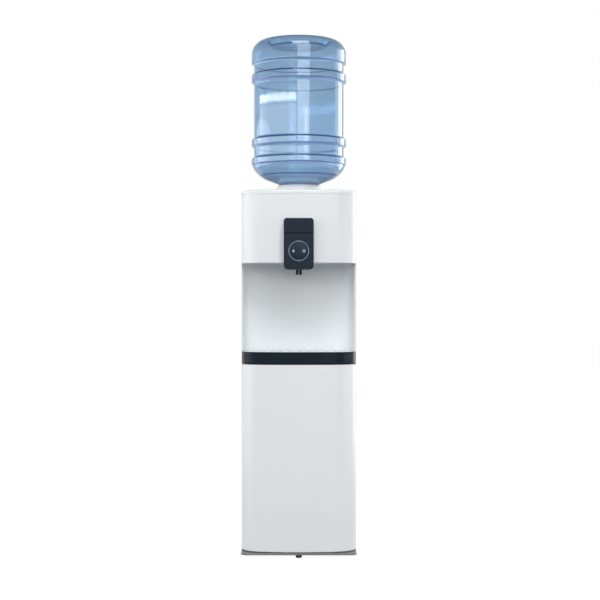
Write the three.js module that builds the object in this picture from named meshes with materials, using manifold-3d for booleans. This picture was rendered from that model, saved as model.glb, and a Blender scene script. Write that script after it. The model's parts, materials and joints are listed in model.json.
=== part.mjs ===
// A free-standing bottled water dispenser: a slim cabinet with a bowed front, an open dispensing alcove
// over a pull-out drip tray, a tap with a push disc for hot and cold, and a large bottle upside down on top.
// Millimetres, +Z up, the front faces -Y. The origin is on the floor, in the middle of the outline.
import * as THREE from "three";
import { mergeVertices } from "three/addons/utils/BufferGeometryUtils.js";
import Module from "manifold-3d";

// Fits that every piece shares
const fit = 0.3;
const weld = 1;
const overrun = 5;
const mergeDistance = 0.001;

// Cabinet in plan
const cabinetWidth = 320;
const cabinetDepth = 310;
const cornerRadius = 68;
const bowRadius = 600;
const bottleAxisShare = 0.516;

// Cabinet in height, from the floor up
const footHeight = 8;
const baseThickness = 8;
const lowerPanelHeight = 512.7;
const trayHeight = 34.9;
const alcoveHeight = 245;
const headHeight = 203.5;
const topCoverHeight = 12;

// Walls
const panelWall = 3;
const panelFlange = 12;
const panelFlangeThickness = 2.4;
const sheet = 2;
const sideFlange = 14;
const linerWall = 2.5;
const baseCornerRadius = 15;
const baseSetback = 2;

// Feet
const footRadius = 15;
const centreFootRadius = 8.6;
const footChamfer = 1.5;
const footInset = 42;
const frontFootSetback = 62;

// Alcove
const alcoveDepth = 130;
const alcoveCornerRadius = 46;
const linerFrontGap = 2;
const shelfSetback = 2;
const shelfMargin = 6;
const shelfFlange = 10;

// Drip tray and its grille
const trayWall = 3;
const trayLedge = 3;
const grilleThickness = 4;
const grilleSlotWidth = 6;
const grilleSlotPitch = 25.5;
const grilleSlotMargin = 14;
const grilleCrossBar = 10;

// Bottle, measured from its shoulder crease: each height is above the crease
const bottleRadius = 135;
const bottleWaistRadius = 128;
const bottleWall = 2;
const bottleConeRadius = 98;
const bottleConeSlope = 0.63;
const bottleNeckRadius = 24;
const bottleNeckFlare = 33;
const bottleNeckLength = 48;
const shoulderRise = 26;
const lowerRibWidth = 21;
const recessWidth = 35;
const middleRibWidth = 19;
const waistHeight = 163;
const upperRibWidth = 21;
const grooveWidth = 33;
const topSectionHeight = 28;
const crownHeight = 50;
const crownFlatRadius = 92;
const puntRadius = 62;
const puntDepth = 14;
const ribSlope = 5;

// Bottle cap, seat and probe
const capWall = 3.7;
const capHeight = 35;
const capFloor = 3.6;
const capSleeveWall = 1.6;
const capSleeveHeight = 20;
const probeRadius = 11;
const probeClearance = 0.6;
const probeRise = 46;
const probeTipRadius = 4;
const probeSlotWidth = 4;
const probeSlotHeight = 18;
const seatRimRadius = 60;
const seatRimHeight = 21;
const seatWall = 2.5;
const seatLip = 7.5;
const seatConeWall = 3.2;
const seatRimWall = 4;
const seatRimRound = 5;
const seatFootRise = 3.5;
const seatFlangeRadius = 80;
const seatCupClearance = 3;
const seatCupDepth = 4.5;
const coverHoleRadius = 70;
const coverEdgeRadius = 7;

// Rear panel and its louvres
const compressorBayHeight = 236;
const rearPanelThickness = 1.5;
const louvreWidth = 84;
const louvreHeight = 4;
const louvrePitch = 15;
const louvreCount = 6;
const louvreTopMargin = 60;
const louvrePlaceShare = 0.36;

// Condenser: a serpentine tube between two layers of upright wires
const condenserReach = 28;
const condenserTubeRadius = 2.4;
const condenserWireRadius = 0.8;
const condenserBite = 0.7;
const condenserSideMargin = 22;
const condenserPasses = 12;
const condenserWires = 7;
const condenserWireSpreadShare = 0.72;
const condenserTopMargin = 42;
const condenserBottomMargin = 110;
const riserOffset = 10;
const brazeTail = 10;
const hookWidth = 12;
const hookLip = 3;
const wireProud = 12;
const fittingDrop = 24;
const fittingsRise = 37;
const spigotPlaceShare = 0.3;
const glandPlaceShare = -0.02;
const switchPlaceShare = -0.42;

// Compressor
const compressorRadius = 60;
const compressorHeight = 132;
const compressorSeam = 4;
const compressorSeamHeight = 9;
const compressorSetback = 78;
const compressorPlate = 3;
const compressorLegSpreadX = 128;
const compressorLegSpreadY = 78;
const compressorPlateMargin = 13;
const grommetRadius = 11;
const grommetHeight = 14;
const grommetWaist = 3;
const studRadius = 3;
const studProud = 6;
const stubRadius = 3.2;
const stubLength = 14;
const terminalWidth = 52;
const terminalHeight = 46;
const terminalDepth = 24;
const terminalRiseShare = 0.22;
const stubSideShare = 0.35;
const suctionHeightShare = 0.72;
const dischargeHeightShare = 0.34;

// Refrigerant lines
const lineRadius = 3;
const lineBend = 16;
const drierRadius = 9;
const drierLength = 86;
const drierNeck = 12;
const drierSetback = 50;
const suctionRun = 24;
const lineSetback = 28;

// Cold tank, its coil and its insulation
const insulationWall = 15;
const valveRoom = 46;
const coilChannelGap = 2;
const coilTubeRadius = 2.5;
const coilTurns = 4;
const coilPitch = 16;

// Hot tank
const heaterThickness = 3;
const heaterHeight = 56;
const hotInsulationWall = 11;
const hotTankSpacing = 10;
const hotTankHeight = 176;
const nozzleRadius = 5;
const nozzleLength = 10;
const nozzleSpreadShare = 0.45;
const thermostatRadius = 8;
const thermostatHeight = 9;

// Hoses
const hoseRadius = 5;
const hoseBend = 14;
const hoseRoom = 44;
const holeClearance = 0.8;

// Rear fittings
const spigotRadius = 8;
const spigotLength = 16;
const spigotFlangeRadius = 13;
const spigotFlange = 2.5;
const drainCapRadius = 12;
const drainCapWall = 2.5;
const glandRadius = 7;
const glandLength = 12;
const glandFlangeRadius = 11;
const glandFlange = 3;
const glandBore = 4;
const powerBoxWidth = 96;
const powerBoxHeight = 70;
const powerBoxDepth = 34;
const powerBoxRadius = 5;
const switchPlateWidth = 66;
const switchPlateHeight = 34;
const switchPlateThickness = 3;
const switchWidth = 13;
const switchHeight = 20;
const switchSpread = 28;
const switchClearance = 0.8;
const switchTilt = 8;
const switchProud = 2.6;
const switchDepth = 8;

// Tap module on the head
const tapWidth = 82;
const tapHeight = 140;
const tapDrop = 17.5;
const tapReach = 32;
const tapFaceReach = 28;
const tapTopRadius = 8;
const tapBottomRadius = 10;
const tapEdge = 2.2;
const tapCoverDepth = 8;
const tapWall = 2.5;
const tapNeckWidth = 75.4;
const tapNeckTop = 9;
const tapNeckDepth = 6;
const tapRimThickness = 3;
const upperCoverHeight = 42;
const discHeight = 50;
const ringRadius = 28;
const ringWall = 3;
const ringProud = 1.5;
const discClearance = 0.8;
const discRim = 3;
const discDome = 3.2;
const discTilt = 4;
const hubRadius = 3.2;
const pinRadius = 1.25;
const pinClearance = 0.4;
const tongueReach = 56;
const tongueWidth = 60;
const spoutSetback = 42;
const spoutPitch = 9.4;
const spoutRadius = 4;
const spoutBore = 2.6;
const spoutDrop = 14;
const boardThickness = 1.6;
const boardWidth = 58;
const boardHeight = 96;
const boardSetback = 9;
const boardRise = 18;
const boardPostRadius = 3;
const boardPostShare = 0.42;
const buttonRadius = 3;
const buttonSpread = 15;
const valveWidth = 22;
const valveBodyHeight = 22;
const valveDepth = 24;
const valveSetback = 32;
const valveCoilRadius = 10;
const valveCoilHeight = 30;
const valveSpread = 23;

// How finely round forms are cut
const bowSteps = 6;
const cornerSteps = 6;
const filletSteps = 4;
const crownSteps = 4;
const bottleSteps = 24;
const vesselSteps = 20;
const ringSteps = 24;
const smallSteps = 10;
const pinSteps = 8;
const tubeSides = 6;
const hoseSides = 6;
const wireSides = 4;
const bendSteps = 4;
const bevelSteps = 2;
const coilSteps = 12;

// Levels and places worked out from the sizes above
const halfWidth = cabinetWidth / 2;
const frontY = (tapReach - cabinetDepth - condenserReach) / 2;
const rearY = frontY + cabinetDepth;
const cornerX = halfWidth - cornerRadius;
const bowAngle = Math.asin(cornerX / (bowRadius - cornerRadius));
const bowCentreY = frontY + bowRadius;
const cornerY = bowCentreY - (bowRadius - cornerRadius) * Math.cos(bowAngle);
const sideStartY = cornerY + fit;
const bottleY = frontY + cabinetDepth * bottleAxisShare;
const baseTop = footHeight + baseThickness;
const lowerPanelBottom = baseTop + fit;
const lowerPanelTop = lowerPanelBottom + lowerPanelHeight;
const trayShelfTop = lowerPanelTop + fit + sheet;
const trayBottom = trayShelfTop + fit;
const trayTop = trayBottom + trayHeight;
const alcoveTop = trayTop + alcoveHeight;
const ceilingTop = alcoveTop + linerWall;
const cabinetTop = alcoveTop + headHeight;
const coverBottom = cabinetTop - topCoverHeight;
const innerHalfWidth = halfWidth - sheet - fit;
const linerHalfWidth = innerHalfWidth - linerWall;
const alcoveBackY = frontY + alcoveDepth;
const linerBackY = alcoveBackY + linerWall;
const linerFrontY = sideStartY + linerFrontGap;
const alcoveRadius = Math.min(alcoveCornerRadius, alcoveBackY - linerFrontY - weld);
const rearPanelY = rearY - sheet - fit - rearPanelThickness;
const innerRearY = rearPanelY - fit;

const wasm = await Module();
wasm.setup();

// Booleans: a geometry becomes a solid once its shared vertices are merged.
function solidOf(geometry) {
  const bare = geometry.clone();
  for (const name of Object.keys(bare.attributes)) {
    if (name !== "position") bare.deleteAttribute(name);
  }
  const merged = mergeVertices(bare, mergeDistance);
  const index = merged.index.array;
  const triVerts = [];
  for (let i = 0; i < index.length; i += 3) {
    const [a, b, c] = index.slice(i, i + 3);
    if (a !== b && b !== c && c !== a) triVerts.push(a, b, c);
  }
  const vertProperties = merged.attributes.position.array;
  const mesh = new wasm.Mesh({ numProp: 3, vertProperties, triVerts: new Uint32Array(triVerts) });
  return new wasm.Manifold(mesh);
}

function geometryOf(solid) {
  const mesh = solid.getMesh();
  const indexed = new THREE.BufferGeometry();
  indexed.setAttribute("position", new THREE.BufferAttribute(new Float32Array(mesh.vertProperties), 3));
  indexed.setIndex(new THREE.BufferAttribute(new Uint32Array(mesh.triVerts), 1));
  const geometry = indexed.toNonIndexed();
  geometry.computeVertexNormals();
  return geometry;
}

function join(...geometries) {
  return geometryOf(geometries.map(solidOf).reduce((whole, next) => whole.add(next)));
}

function cut(geometry, ...tools) {
  return geometryOf(tools.map(solidOf).reduce((whole, tool) => whole.subtract(tool), solidOf(geometry)));
}

// Outlines
function arc(x, y, radius, from, to, steps) {
  const points = [];
  for (let i = 0; i <= steps; i += 1) {
    const angle = from + ((to - from) * i) / steps;
    points.push(new THREE.Vector2(x + radius * Math.cos(angle), y + radius * Math.sin(angle)));
  }
  return points;
}

function withoutRepeats(points) {
  return points.filter((point, i) => i === 0 || point.distanceTo(points[i - 1]) > mergeDistance);
}

function shapeOf(points) {
  return new THREE.Shape(withoutRepeats(points));
}

function roundedRectangle(x0, x1, y0, y1, lowRadius, highRadius = lowRadius) {
  const right = Math.PI / 2;
  return shapeOf([
    ...arc(x0 + lowRadius, y0 + lowRadius, lowRadius, 2 * right, 3 * right, filletSteps),
    ...arc(x1 - lowRadius, y0 + lowRadius, lowRadius, 3 * right, 4 * right, filletSteps),
    ...arc(x1 - highRadius, y1 - highRadius, highRadius, 0, right, filletSteps),
    ...arc(x0 + highRadius, y1 - highRadius, highRadius, right, 2 * right, filletSteps),
  ]);
}

// The bowed front with its two round corners, drawn in by an inset, from the left side to the right side.
function frontCurve(inset) {
  const down = 1.5 * Math.PI;
  return [
    ...arc(-cornerX, cornerY, cornerRadius - inset, Math.PI, down - bowAngle, cornerSteps),
    ...arc(0, bowCentreY, bowRadius - inset, down - bowAngle, down + bowAngle, bowSteps),
    ...arc(cornerX, cornerY, cornerRadius - inset, down + bowAngle, 2 * Math.PI, cornerSteps),
  ];
}

// A wall that follows the front and both corners, between two insets.
function frontWall(outerInset, innerInset) {
  return shapeOf([...frontCurve(outerInset), ...frontCurve(innerInset).reverse()]);
}

// The alcove's rounded back seen from above, from the right side to the left side.
function alcoveCurve(sideX, backY, radius) {
  return [
    ...arc(sideX - radius, backY - radius, radius, 0, Math.PI / 2, cornerSteps),
    ...arc(radius - sideX, backY - radius, radius, Math.PI / 2, Math.PI, cornerSteps),
  ];
}

// Solids from outlines
function box(x0, x1, y0, y1, z0, z1) {
  const geometry = new THREE.BoxGeometry(x1 - x0, y1 - y0, z1 - z0);
  return geometry.translate((x0 + x1) / 2, (y0 + y1) / 2, (z0 + z1) / 2);
}

function standing(shape, z0, z1) {
  return new THREE.ExtrudeGeometry(shape, { depth: z1 - z0, bevelEnabled: false }).translate(0, 0, z0);
}

// An outline drawn on the front view in x and z, running from y0 back to y1.
function facing(shape, y0, y1) {
  const geometry = new THREE.ExtrudeGeometry(shape, { depth: y1 - y0, bevelEnabled: false });
  return geometry.rotateX(Math.PI / 2).translate(0, y1, 0);
}

// An outline drawn on the side view in y and z, running from x0 to x1.
function sideways(shape, x0, x1) {
  const geometry = new THREE.ExtrudeGeometry(shape, { depth: x1 - x0, bevelEnabled: false });
  return geometry.rotateX(Math.PI / 2).rotateZ(Math.PI / 2).translate(x0, 0, 0);
}

// A profile of [radius, height] pairs turned about the upright axis, listed anticlockwise.
function turned(profile, steps) {
  const points = profile.map(([radius, height]) => new THREE.Vector2(radius, height));
  return new THREE.LatheGeometry(points, steps).rotateX(Math.PI / 2);
}

function rod(radius, z0, z1, steps, x = 0, y = 0) {
  return turned([[0, z0], [radius, z0], [radius, z1], [0, z1]], steps).translate(x, y, 0);
}

// A rod that points backwards, from y0 to y1.
function rodBack(radius, y0, y1, steps, x, z) {
  return rod(radius, -y1, -y0, steps).rotateX(Math.PI / 2).translate(x, 0, z);
}

function ring(inner, outer, z0, z1, steps) {
  return turned([[inner, z0], [outer, z0], [outer, z1], [inner, z1], [inner, z0]], steps);
}

// A route whose rings fall on its own points, so a straight run costs one step.
class Route extends THREE.Curve {
  constructor(points) {
    super();
    this.points = points;
  }

  getPoint(t) {
    const place = t * (this.points.length - 1);
    const i = Math.min(Math.floor(place), this.points.length - 2);
    return this.points[i].clone().lerp(this.points[i + 1], place - i);
  }

  getPointAt(t) {
    return this.getPoint(t);
  }

  getTangentAt(t) {
    const i = Math.round(t * (this.points.length - 1));
    const before = this.points[Math.max(i - 1, 0)];
    const after = this.points[Math.min(i + 1, this.points.length - 1)];
    return after.clone().sub(before).normalize();
  }
}

// Corner points joined by straight runs, with an arc at each corner: of its own radius where it gives one
// after its place, or else of the radius that the whole route shares.
function bentRoute(corners, sharedRadius) {
  const places = corners.map(([x, y, z]) => new THREE.Vector3(x, y, z));
  const points = [places[0]];
  for (let i = 1; i < places.length - 1; i += 1) {
    const bendRadius = corners[i][3] ?? sharedRadius;
    const incoming = places[i].clone().sub(places[i - 1]).normalize();
    const outgoing = places[i + 1].clone().sub(places[i]).normalize();
    const turn = incoming.angleTo(outgoing);
    const axis = incoming.clone().cross(outgoing).normalize();
    const start = places[i].clone().addScaledVector(incoming, -bendRadius * Math.tan(turn / 2));
    const inward = outgoing.clone().sub(incoming).normalize();
    const centre = places[i].clone().addScaledVector(inward, bendRadius / Math.cos(turn / 2));
    for (let step = 0; step <= bendSteps; step += 1) {
      const arm = start.clone().sub(centre).applyAxisAngle(axis, (turn * step) / bendSteps);
      points.push(centre.clone().add(arm));
    }
  }
  points.push(places[places.length - 1]);
  return withoutRepeats(points);
}

function tubeAlong(points, radius, sides) {
  const section = new THREE.Shape(arc(0, 0, radius, 0, 2 * Math.PI, sides).slice(0, -1));
  const extrudePath = new Route(points);
  return new THREE.ExtrudeGeometry(section, { steps: points.length - 1, extrudePath, bevelEnabled: false });
}

function pipe(corners, radius, bendRadius, sides) {
  return tubeAlong(bentRoute(corners, bendRadius), radius, sides);
}

// Finishes
const finishes = {
  whitePlastic: { color: 0xe4e9ec, roughness: 0.4, metalness: 0 },
  whiteSteel: { color: 0xe6eaec, roughness: 0.45, metalness: 0.1 },
  greyPlastic: { color: 0x8d9194, roughness: 0.6, metalness: 0 },
  blackGloss: { color: 0x26303a, roughness: 0.12, metalness: 0 },
  tapPlastic: { color: 0x384048, roughness: 0.3, metalness: 0 },
  tapDark: { color: 0x1c242a, roughness: 0.35, metalness: 0 },
  silverBlue: { color: 0x6f8aa6, roughness: 0.3, metalness: 0.7 },
  bottleBlue: { color: 0xacd0ec, roughness: 0.08, metalness: 0, transparent: true, opacity: 0.5 },
  capBlue: { color: 0x5f8fc4, roughness: 0.4, metalness: 0 },
  blackPaint: { color: 0x1b1c1e, roughness: 0.5, metalness: 0.3 },
  galvanised: { color: 0xa8acae, roughness: 0.4, metalness: 0.9 },
  stainless: { color: 0xb8babc, roughness: 0.3, metalness: 1 },
  copper: { color: 0xb87452, roughness: 0.35, metalness: 1 },
  brass: { color: 0xb59a5a, roughness: 0.35, metalness: 1 },
  rubber: { color: 0x1a1a1b, roughness: 0.85, metalness: 0 },
  foam: { color: 0xf1f1ee, roughness: 0.9, metalness: 0 },
  silicone: { color: 0xe3e3df, roughness: 0.55, metalness: 0 },
  board: { color: 0x1f6b46, roughness: 0.5, metalness: 0.1 },
  redPlastic: { color: 0xb02a24, roughness: 0.35, metalness: 0 },
  greenPlastic: { color: 0x2f8a4a, roughness: 0.35, metalness: 0 },
};

const dispenser = new THREE.Group();

function place(name, geometry, finish, group = dispenser) {
  const mesh = new THREE.Mesh(geometry, new THREE.MeshStandardMaterial(finish));
  mesh.name = name;
  group.add(mesh);
  return mesh;
}

function groupAt(x, y, z) {
  const group = new THREE.Group();
  group.position.set(x, y, z);
  dispenser.add(group);
  return group;
}

// Feet and base
const compressorY = rearY - compressorSetback;
const grommetBottom = baseTop + fit;
const grommetTop = grommetBottom + grommetHeight;
const legBottom = grommetTop + fit;
const legTop = legBottom + compressorPlate;
const studTop = legTop + studProud;
const legPlaces = [-1, 1].flatMap((sideways) => [-1, 1].map((along) => [
  sideways * compressorLegSpreadX / 2,
  compressorY + along * compressorLegSpreadY / 2,
]));

function makeFoot(name, radius, x, y) {
  const top = footHeight - fit;
  const profile = [[0, 0], [radius - footChamfer, 0], [radius, footChamfer], [radius, top], [0, top]];
  place(name, turned(profile, smallSteps), finishes.rubber, groupAt(x, y, 0));
}

function makeBase() {
  const plan = roundedRectangle(-halfWidth, halfWidth, frontY + baseSetback, rearY, baseCornerRadius);
  const studs = legPlaces.map(([x, y]) => rod(studRadius, baseTop - weld, studTop, pinSteps, x, y));
  place("base_plate", join(standing(plan, footHeight, baseTop), ...studs), finishes.greyPlastic);
  const footX = halfWidth - footInset;
  makeFoot("foot_front_left", footRadius, -footX, frontY + frontFootSetback);
  makeFoot("foot_front_right", footRadius, footX, frontY + frontFootSetback);
  makeFoot("foot_rear_left", footRadius, -footX, rearY - footInset);
  makeFoot("foot_rear_right", footRadius, footX, rearY - footInset);
  makeFoot("foot_front_centre", centreFootRadius, 0, frontY + baseSetback + centreFootRadius + weld);
}

// Cabinet shell
const sideTop = coverBottom - fit;
const tapBottom = alcoveTop - tapDrop;
const tapTop = tapBottom + tapHeight;
const notchTop = tapTop - tapNeckTop;

function frontPanel(z0, z1) {
  const flange = frontWall(panelWall - weld, panelFlange);
  return join(standing(frontWall(0, panelWall), z0, z1), standing(flange, z1 - panelFlangeThickness, z1));
}

function makeFrontPanels() {
  const flangeTop = lowerPanelBottom + panelFlangeThickness;
  const foot = standing(frontWall(panelWall - weld, panelFlange), lowerPanelBottom, flangeTop);
  const lower = join(frontPanel(lowerPanelBottom, lowerPanelTop), foot);
  place("lower_front_panel", lower, finishes.whitePlastic);
  const notchHalf = tapNeckWidth / 2 + fit;
  const notch = box(-notchHalf, notchHalf, frontY - overrun, cornerY, alcoveTop - overrun, notchTop);
  place("head_front_panel", cut(frontPanel(alcoveTop, sideTop), notch), finishes.whitePlastic);
}

function sidePanel(side) {
  const outer = side * halfWidth;
  const inner = side * (halfWidth - sheet);
  const flangeEnd = side * (halfWidth - sideFlange);
  const plan = new THREE.Shape([
    new THREE.Vector2(inner, sideStartY),
    new THREE.Vector2(outer, sideStartY),
    new THREE.Vector2(outer, rearY),
    new THREE.Vector2(flangeEnd, rearY),
    new THREE.Vector2(flangeEnd, rearY - sheet),
    new THREE.Vector2(inner, rearY - sheet),
  ]);
  return standing(plan, lowerPanelBottom, sideTop);
}

function coverPlan(inset) {
  const radius = baseCornerRadius - inset;
  return shapeOf([
    ...frontCurve(inset),
    ...arc(halfWidth - baseCornerRadius, rearY - baseCornerRadius, radius, 0, Math.PI / 2, filletSteps),
    ...arc(baseCornerRadius - halfWidth, rearY - baseCornerRadius, radius, Math.PI / 2, Math.PI, filletSteps),
  ]);
}

// The lid over the head: a shell with a rounded upper edge and a round hole for the bottle seat.
function makeTopCover() {
  const rounded = new THREE.ExtrudeGeometry(coverPlan(0), {
    depth: topCoverHeight,
    bevelThickness: coverEdgeRadius,
    bevelSize: coverEdgeRadius,
    bevelOffset: -coverEdgeRadius,
    bevelSegments: bevelSteps,
  }).translate(0, 0, coverBottom - coverEdgeRadius);
  const below = box(-cabinetWidth, cabinetWidth, -cabinetDepth, cabinetDepth, 0, coverBottom);
  const inside = standing(coverPlan(panelWall), coverBottom - overrun, cabinetTop - panelWall);
  const hole = rod(coverHoleRadius, coverBottom, cabinetTop + overrun, vesselSteps, 0, bottleY);
  place("top_cover", cut(rounded, below, inside, hole), finishes.whitePlastic);
}

// Alcove: liner with its ceiling, the shelf that carries the tray, and two inner shelves
const slotHalfWidth = spoutPitch / 2 + spoutRadius + weld;
const spoutY = frontY + spoutSetback;

function makeLiner() {
  const outerRadius = alcoveRadius + linerWall;
  const outer = alcoveCurve(innerHalfWidth, linerBackY, outerRadius);
  const inner = alcoveCurve(linerHalfWidth, alcoveBackY, alcoveRadius).reverse();
  const walls = shapeOf([
    new THREE.Vector2(innerHalfWidth, linerFrontY),
    ...outer,
    new THREE.Vector2(-innerHalfWidth, linerFrontY),
    new THREE.Vector2(-linerHalfWidth, linerFrontY),
    ...inner,
    new THREE.Vector2(linerHalfWidth, linerFrontY),
  ]);
  const ceiling = shapeOf([
    ...frontCurve(panelWall + fit),
    new THREE.Vector2(innerHalfWidth, linerFrontY),
    ...outer,
    new THREE.Vector2(-innerHalfWidth, linerFrontY),
  ]);
  const slotHalfDepth = spoutRadius + weld;
  const slotY = spoutY - slotHalfDepth;
  const slot = box(-slotHalfWidth, slotHalfWidth, slotY, spoutY + slotHalfDepth, tapBottom, tapTop);
  const shell = join(standing(walls, trayBottom, ceilingTop), standing(ceiling, alcoveTop, ceilingTop));
  place("alcove_liner", cut(shell, slot), finishes.whitePlastic);
}

function makeTrayShelf() {
  const backY = linerBackY + shelfMargin;
  const plan = shapeOf([
    ...frontCurve(shelfSetback),
    new THREE.Vector2(innerHalfWidth, linerFrontY),
    new THREE.Vector2(innerHalfWidth, backY),
    new THREE.Vector2(-innerHalfWidth, backY),
    new THREE.Vector2(-innerHalfWidth, linerFrontY),
  ]);
  place("tray_shelf", standing(plan, trayShelfTop - sheet, trayShelfTop), finishes.whiteSteel);
}

// Drip tray and grille
// The tray in plan: the bowed front runs to the side panels, then the tray steps in to fit the liner.
function trayPlan(inset) {
  const sideX = linerHalfWidth - fit - inset;
  const backY = alcoveBackY - fit - inset;
  const stepY = cornerY - inset;
  const stepX = cornerX + Math.sqrt((cornerRadius - inset) ** 2 - inset ** 2);
  return shapeOf([
    new THREE.Vector2(-stepX, stepY),
    ...frontCurve(inset).filter((point) => point.y < stepY - weld),
    new THREE.Vector2(stepX, stepY),
    new THREE.Vector2(sideX, stepY),
    ...alcoveCurve(sideX, backY, alcoveRadius - fit - inset),
    new THREE.Vector2(-sideX, stepY),
  ]);
}

function makeTray() {
  const ledgeTop = trayTop - grilleThickness - fit;
  const basin = standing(trayPlan(trayWall + trayLedge), trayBottom + trayWall, trayTop);
  const mouth = standing(trayPlan(trayWall), ledgeTop, trayTop + overrun);
  place("drip_tray", cut(standing(trayPlan(0), trayBottom, trayTop), basin, mouth), finishes.blackGloss);
}

function makeGrille() {
  const inset = trayWall + fit;
  const bottom = trayTop - grilleThickness;
  const slots = [];
  const reach = Math.floor((linerHalfWidth - grilleSlotMargin) / grilleSlotPitch);
  const middleY = (frontY + alcoveBackY) / 2;
  for (let i = -reach; i <= reach; i += 1) {
    const x = i * grilleSlotPitch;
    const bow = bowCentreY - Math.sqrt(bowRadius ** 2 - x ** 2) - frontY;
    const corner = Math.max(Math.abs(x) - cornerX, 0);
    const roundOff = cornerRadius - Math.sqrt(cornerRadius ** 2 - corner ** 2);
    const y0 = frontY + Math.max(bow, roundOff) + grilleSlotMargin;
    const y1 = alcoveBackY - grilleSlotMargin - Math.max(Math.abs(x) - linerHalfWidth + alcoveRadius, 0) / 2;
    const half = grilleSlotWidth / 2;
    const halfBar = grilleCrossBar / 2;
    slots.push(box(x - half, x + half, y0, middleY - halfBar, bottom - overrun, trayTop + overrun));
    slots.push(box(x - half, x + half, middleY + halfBar, y1, bottom - overrun, trayTop + overrun));
  }
  place("drip_grille", cut(standing(trayPlan(inset), bottom, trayTop), ...slots), finishes.whitePlastic);
}

// Bottle, upside down on its seat: heights follow the seat's rim
const seatContactRadius = seatRimRadius - seatLip;
const creaseZ = cabinetTop + seatRimHeight + fit + (bottleConeRadius - seatContactRadius) * bottleConeSlope;
const flareZ = creaseZ - (bottleConeRadius - bottleNeckFlare) * bottleConeSlope;
const mouthZ = flareZ - bottleNeckLength;
const capBottom = mouthZ - fit - capFloor;
const capRadius = bottleNeckRadius + fit + capWall;
const cupRadius = capRadius + seatCupClearance;
const cupFloorTop = capBottom - seatCupDepth;
const cupBottom = cupFloorTop - seatWall;

function bottleOutline() {
  const points = [[bottleNeckRadius, mouthZ], [bottleNeckRadius, flareZ - ribSlope]];
  points.push([bottleNeckFlare, flareZ], [bottleConeRadius, creaseZ]);
  let z = creaseZ + shoulderRise;
  points.push([bottleRadius, z]);
  const recess = (height) => {
    points.push([bottleWaistRadius, z + ribSlope], [bottleWaistRadius, z + height - ribSlope]);
    z += height;
    points.push([bottleRadius, z]);
  };
  const rib = (height) => {
    z += height;
    points.push([bottleRadius, z]);
  };
  rib(lowerRibWidth);
  recess(recessWidth);
  rib(middleRibWidth);
  recess(waistHeight);
  rib(upperRibWidth);
  recess(grooveWidth);
  rib(topSectionHeight);
  const crown = arc(0, 0, 1, 0, Math.PI / 2, crownSteps).slice(1);
  const crownReach = bottleRadius - crownFlatRadius;
  points.push(...crown.map(({ x, y }) => [crownFlatRadius + crownReach * x, z + crownHeight * y]));
  const top = z + crownHeight;
  points.push([puntRadius, top], [puntRadius - puntDepth, top - puntDepth], [0, top - puntDepth]);
  return points;
}

// The same outline moved inwards by the wall, square to each stretch.
function inwardOutline(points, wall) {
  return points.map(([radius, z], i) => {
    const before = points[Math.max(i - 1, 0)];
    const after = points[Math.min(i + 1, points.length - 1)];
    const along = new THREE.Vector2(after[0] - before[0], after[1] - before[1]).normalize();
    return [Math.max(radius - along.y * wall, 0), z + along.x * wall];
  });
}

function makeBottle() {
  const group = groupAt(0, bottleY, 0);
  const outer = bottleOutline();
  const inner = inwardOutline(outer, bottleWall);
  inner[0][1] = mouthZ;
  inner[inner.length - 1] = [0, outer[outer.length - 1][1] - bottleWall];
  place("bottle", turned([...inner.reverse(), ...outer], bottleSteps), finishes.bottleBlue, group);

  const sleeveInner = probeRadius + probeClearance;
  const sleeveOuter = sleeveInner + capSleeveWall;
  const capTop = capBottom + capHeight;
  const skirtInner = bottleNeckRadius + fit;
  const cap = turned([
    [sleeveInner, capBottom],
    [capRadius, capBottom],
    [capRadius, capTop],
    [skirtInner, capTop],
    [skirtInner, capBottom + capFloor],
    [sleeveOuter, capBottom + capFloor],
    [sleeveOuter, capBottom + capSleeveHeight],
    [sleeveInner, capBottom + capSleeveHeight],
    [sleeveInner, capBottom],
  ], bottleSteps);
  place("bottle_cap", cap, finishes.capBlue, group);
}

// Seat: a funnel whose cone carries the bottle's shoulder, over a cup that the capped neck hangs in.
function makeSeat() {
  const group = groupAt(0, bottleY, 0);
  const flangeBottom = cabinetTop + fit;
  const rimTop = cabinetTop + seatRimHeight;
  const coneAt = (radius) => rimTop - (seatContactRadius - radius) * bottleConeSlope;
  const outerCup = cupRadius + seatWall;
  const rimOuter = seatRimRadius + seatWall;
  const seat = turned([
    [probeRadius + fit, cupBottom],
    [outerCup, cupBottom],
    [outerCup, coneAt(outerCup) - seatConeWall],
    [seatContactRadius, rimTop - seatConeWall],
    [seatRimRadius - seatWall / 2, rimTop - seatRimWall],
    [seatRimRadius, flangeBottom],
    [seatFlangeRadius, flangeBottom],
    [seatFlangeRadius - weld, flangeBottom + seatWall],
    [rimOuter + seatWall, flangeBottom + seatFootRise],
    [rimOuter, rimTop - seatRimRound],
    [seatRimRadius, rimTop - weld / 2],
    [seatRimRadius - seatWall, rimTop],
    [seatContactRadius, rimTop],
    [cupRadius, coneAt(cupRadius)],
    [cupRadius, cupFloorTop],
    [probeRadius + fit, cupFloorTop],
    [probeRadius + fit, cupBottom],
  ], bottleSteps);
  place("bottle_seat", seat, finishes.whitePlastic, group);

  const probeTop = capBottom + probeRise;
  const tipBase = probeTop - probeRadius;
  const body = turned([[0, cupBottom], [probeRadius, cupBottom], [probeRadius, tipBase],
    [probeTipRadius, probeTop], [0, probeTop]], bottleSteps);
  const slotTop = tipBase - weld;
  const half = probeSlotWidth / 2;
  const slot = box(-half, half, -cupRadius, cupRadius, slotTop - probeSlotHeight, slotTop);
  const crossing = box(-cupRadius, cupRadius, -half, half, slotTop - probeSlotHeight, slotTop);
  place("water_probe", cut(body, slot, crossing), finishes.whitePlastic, group);
}

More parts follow.
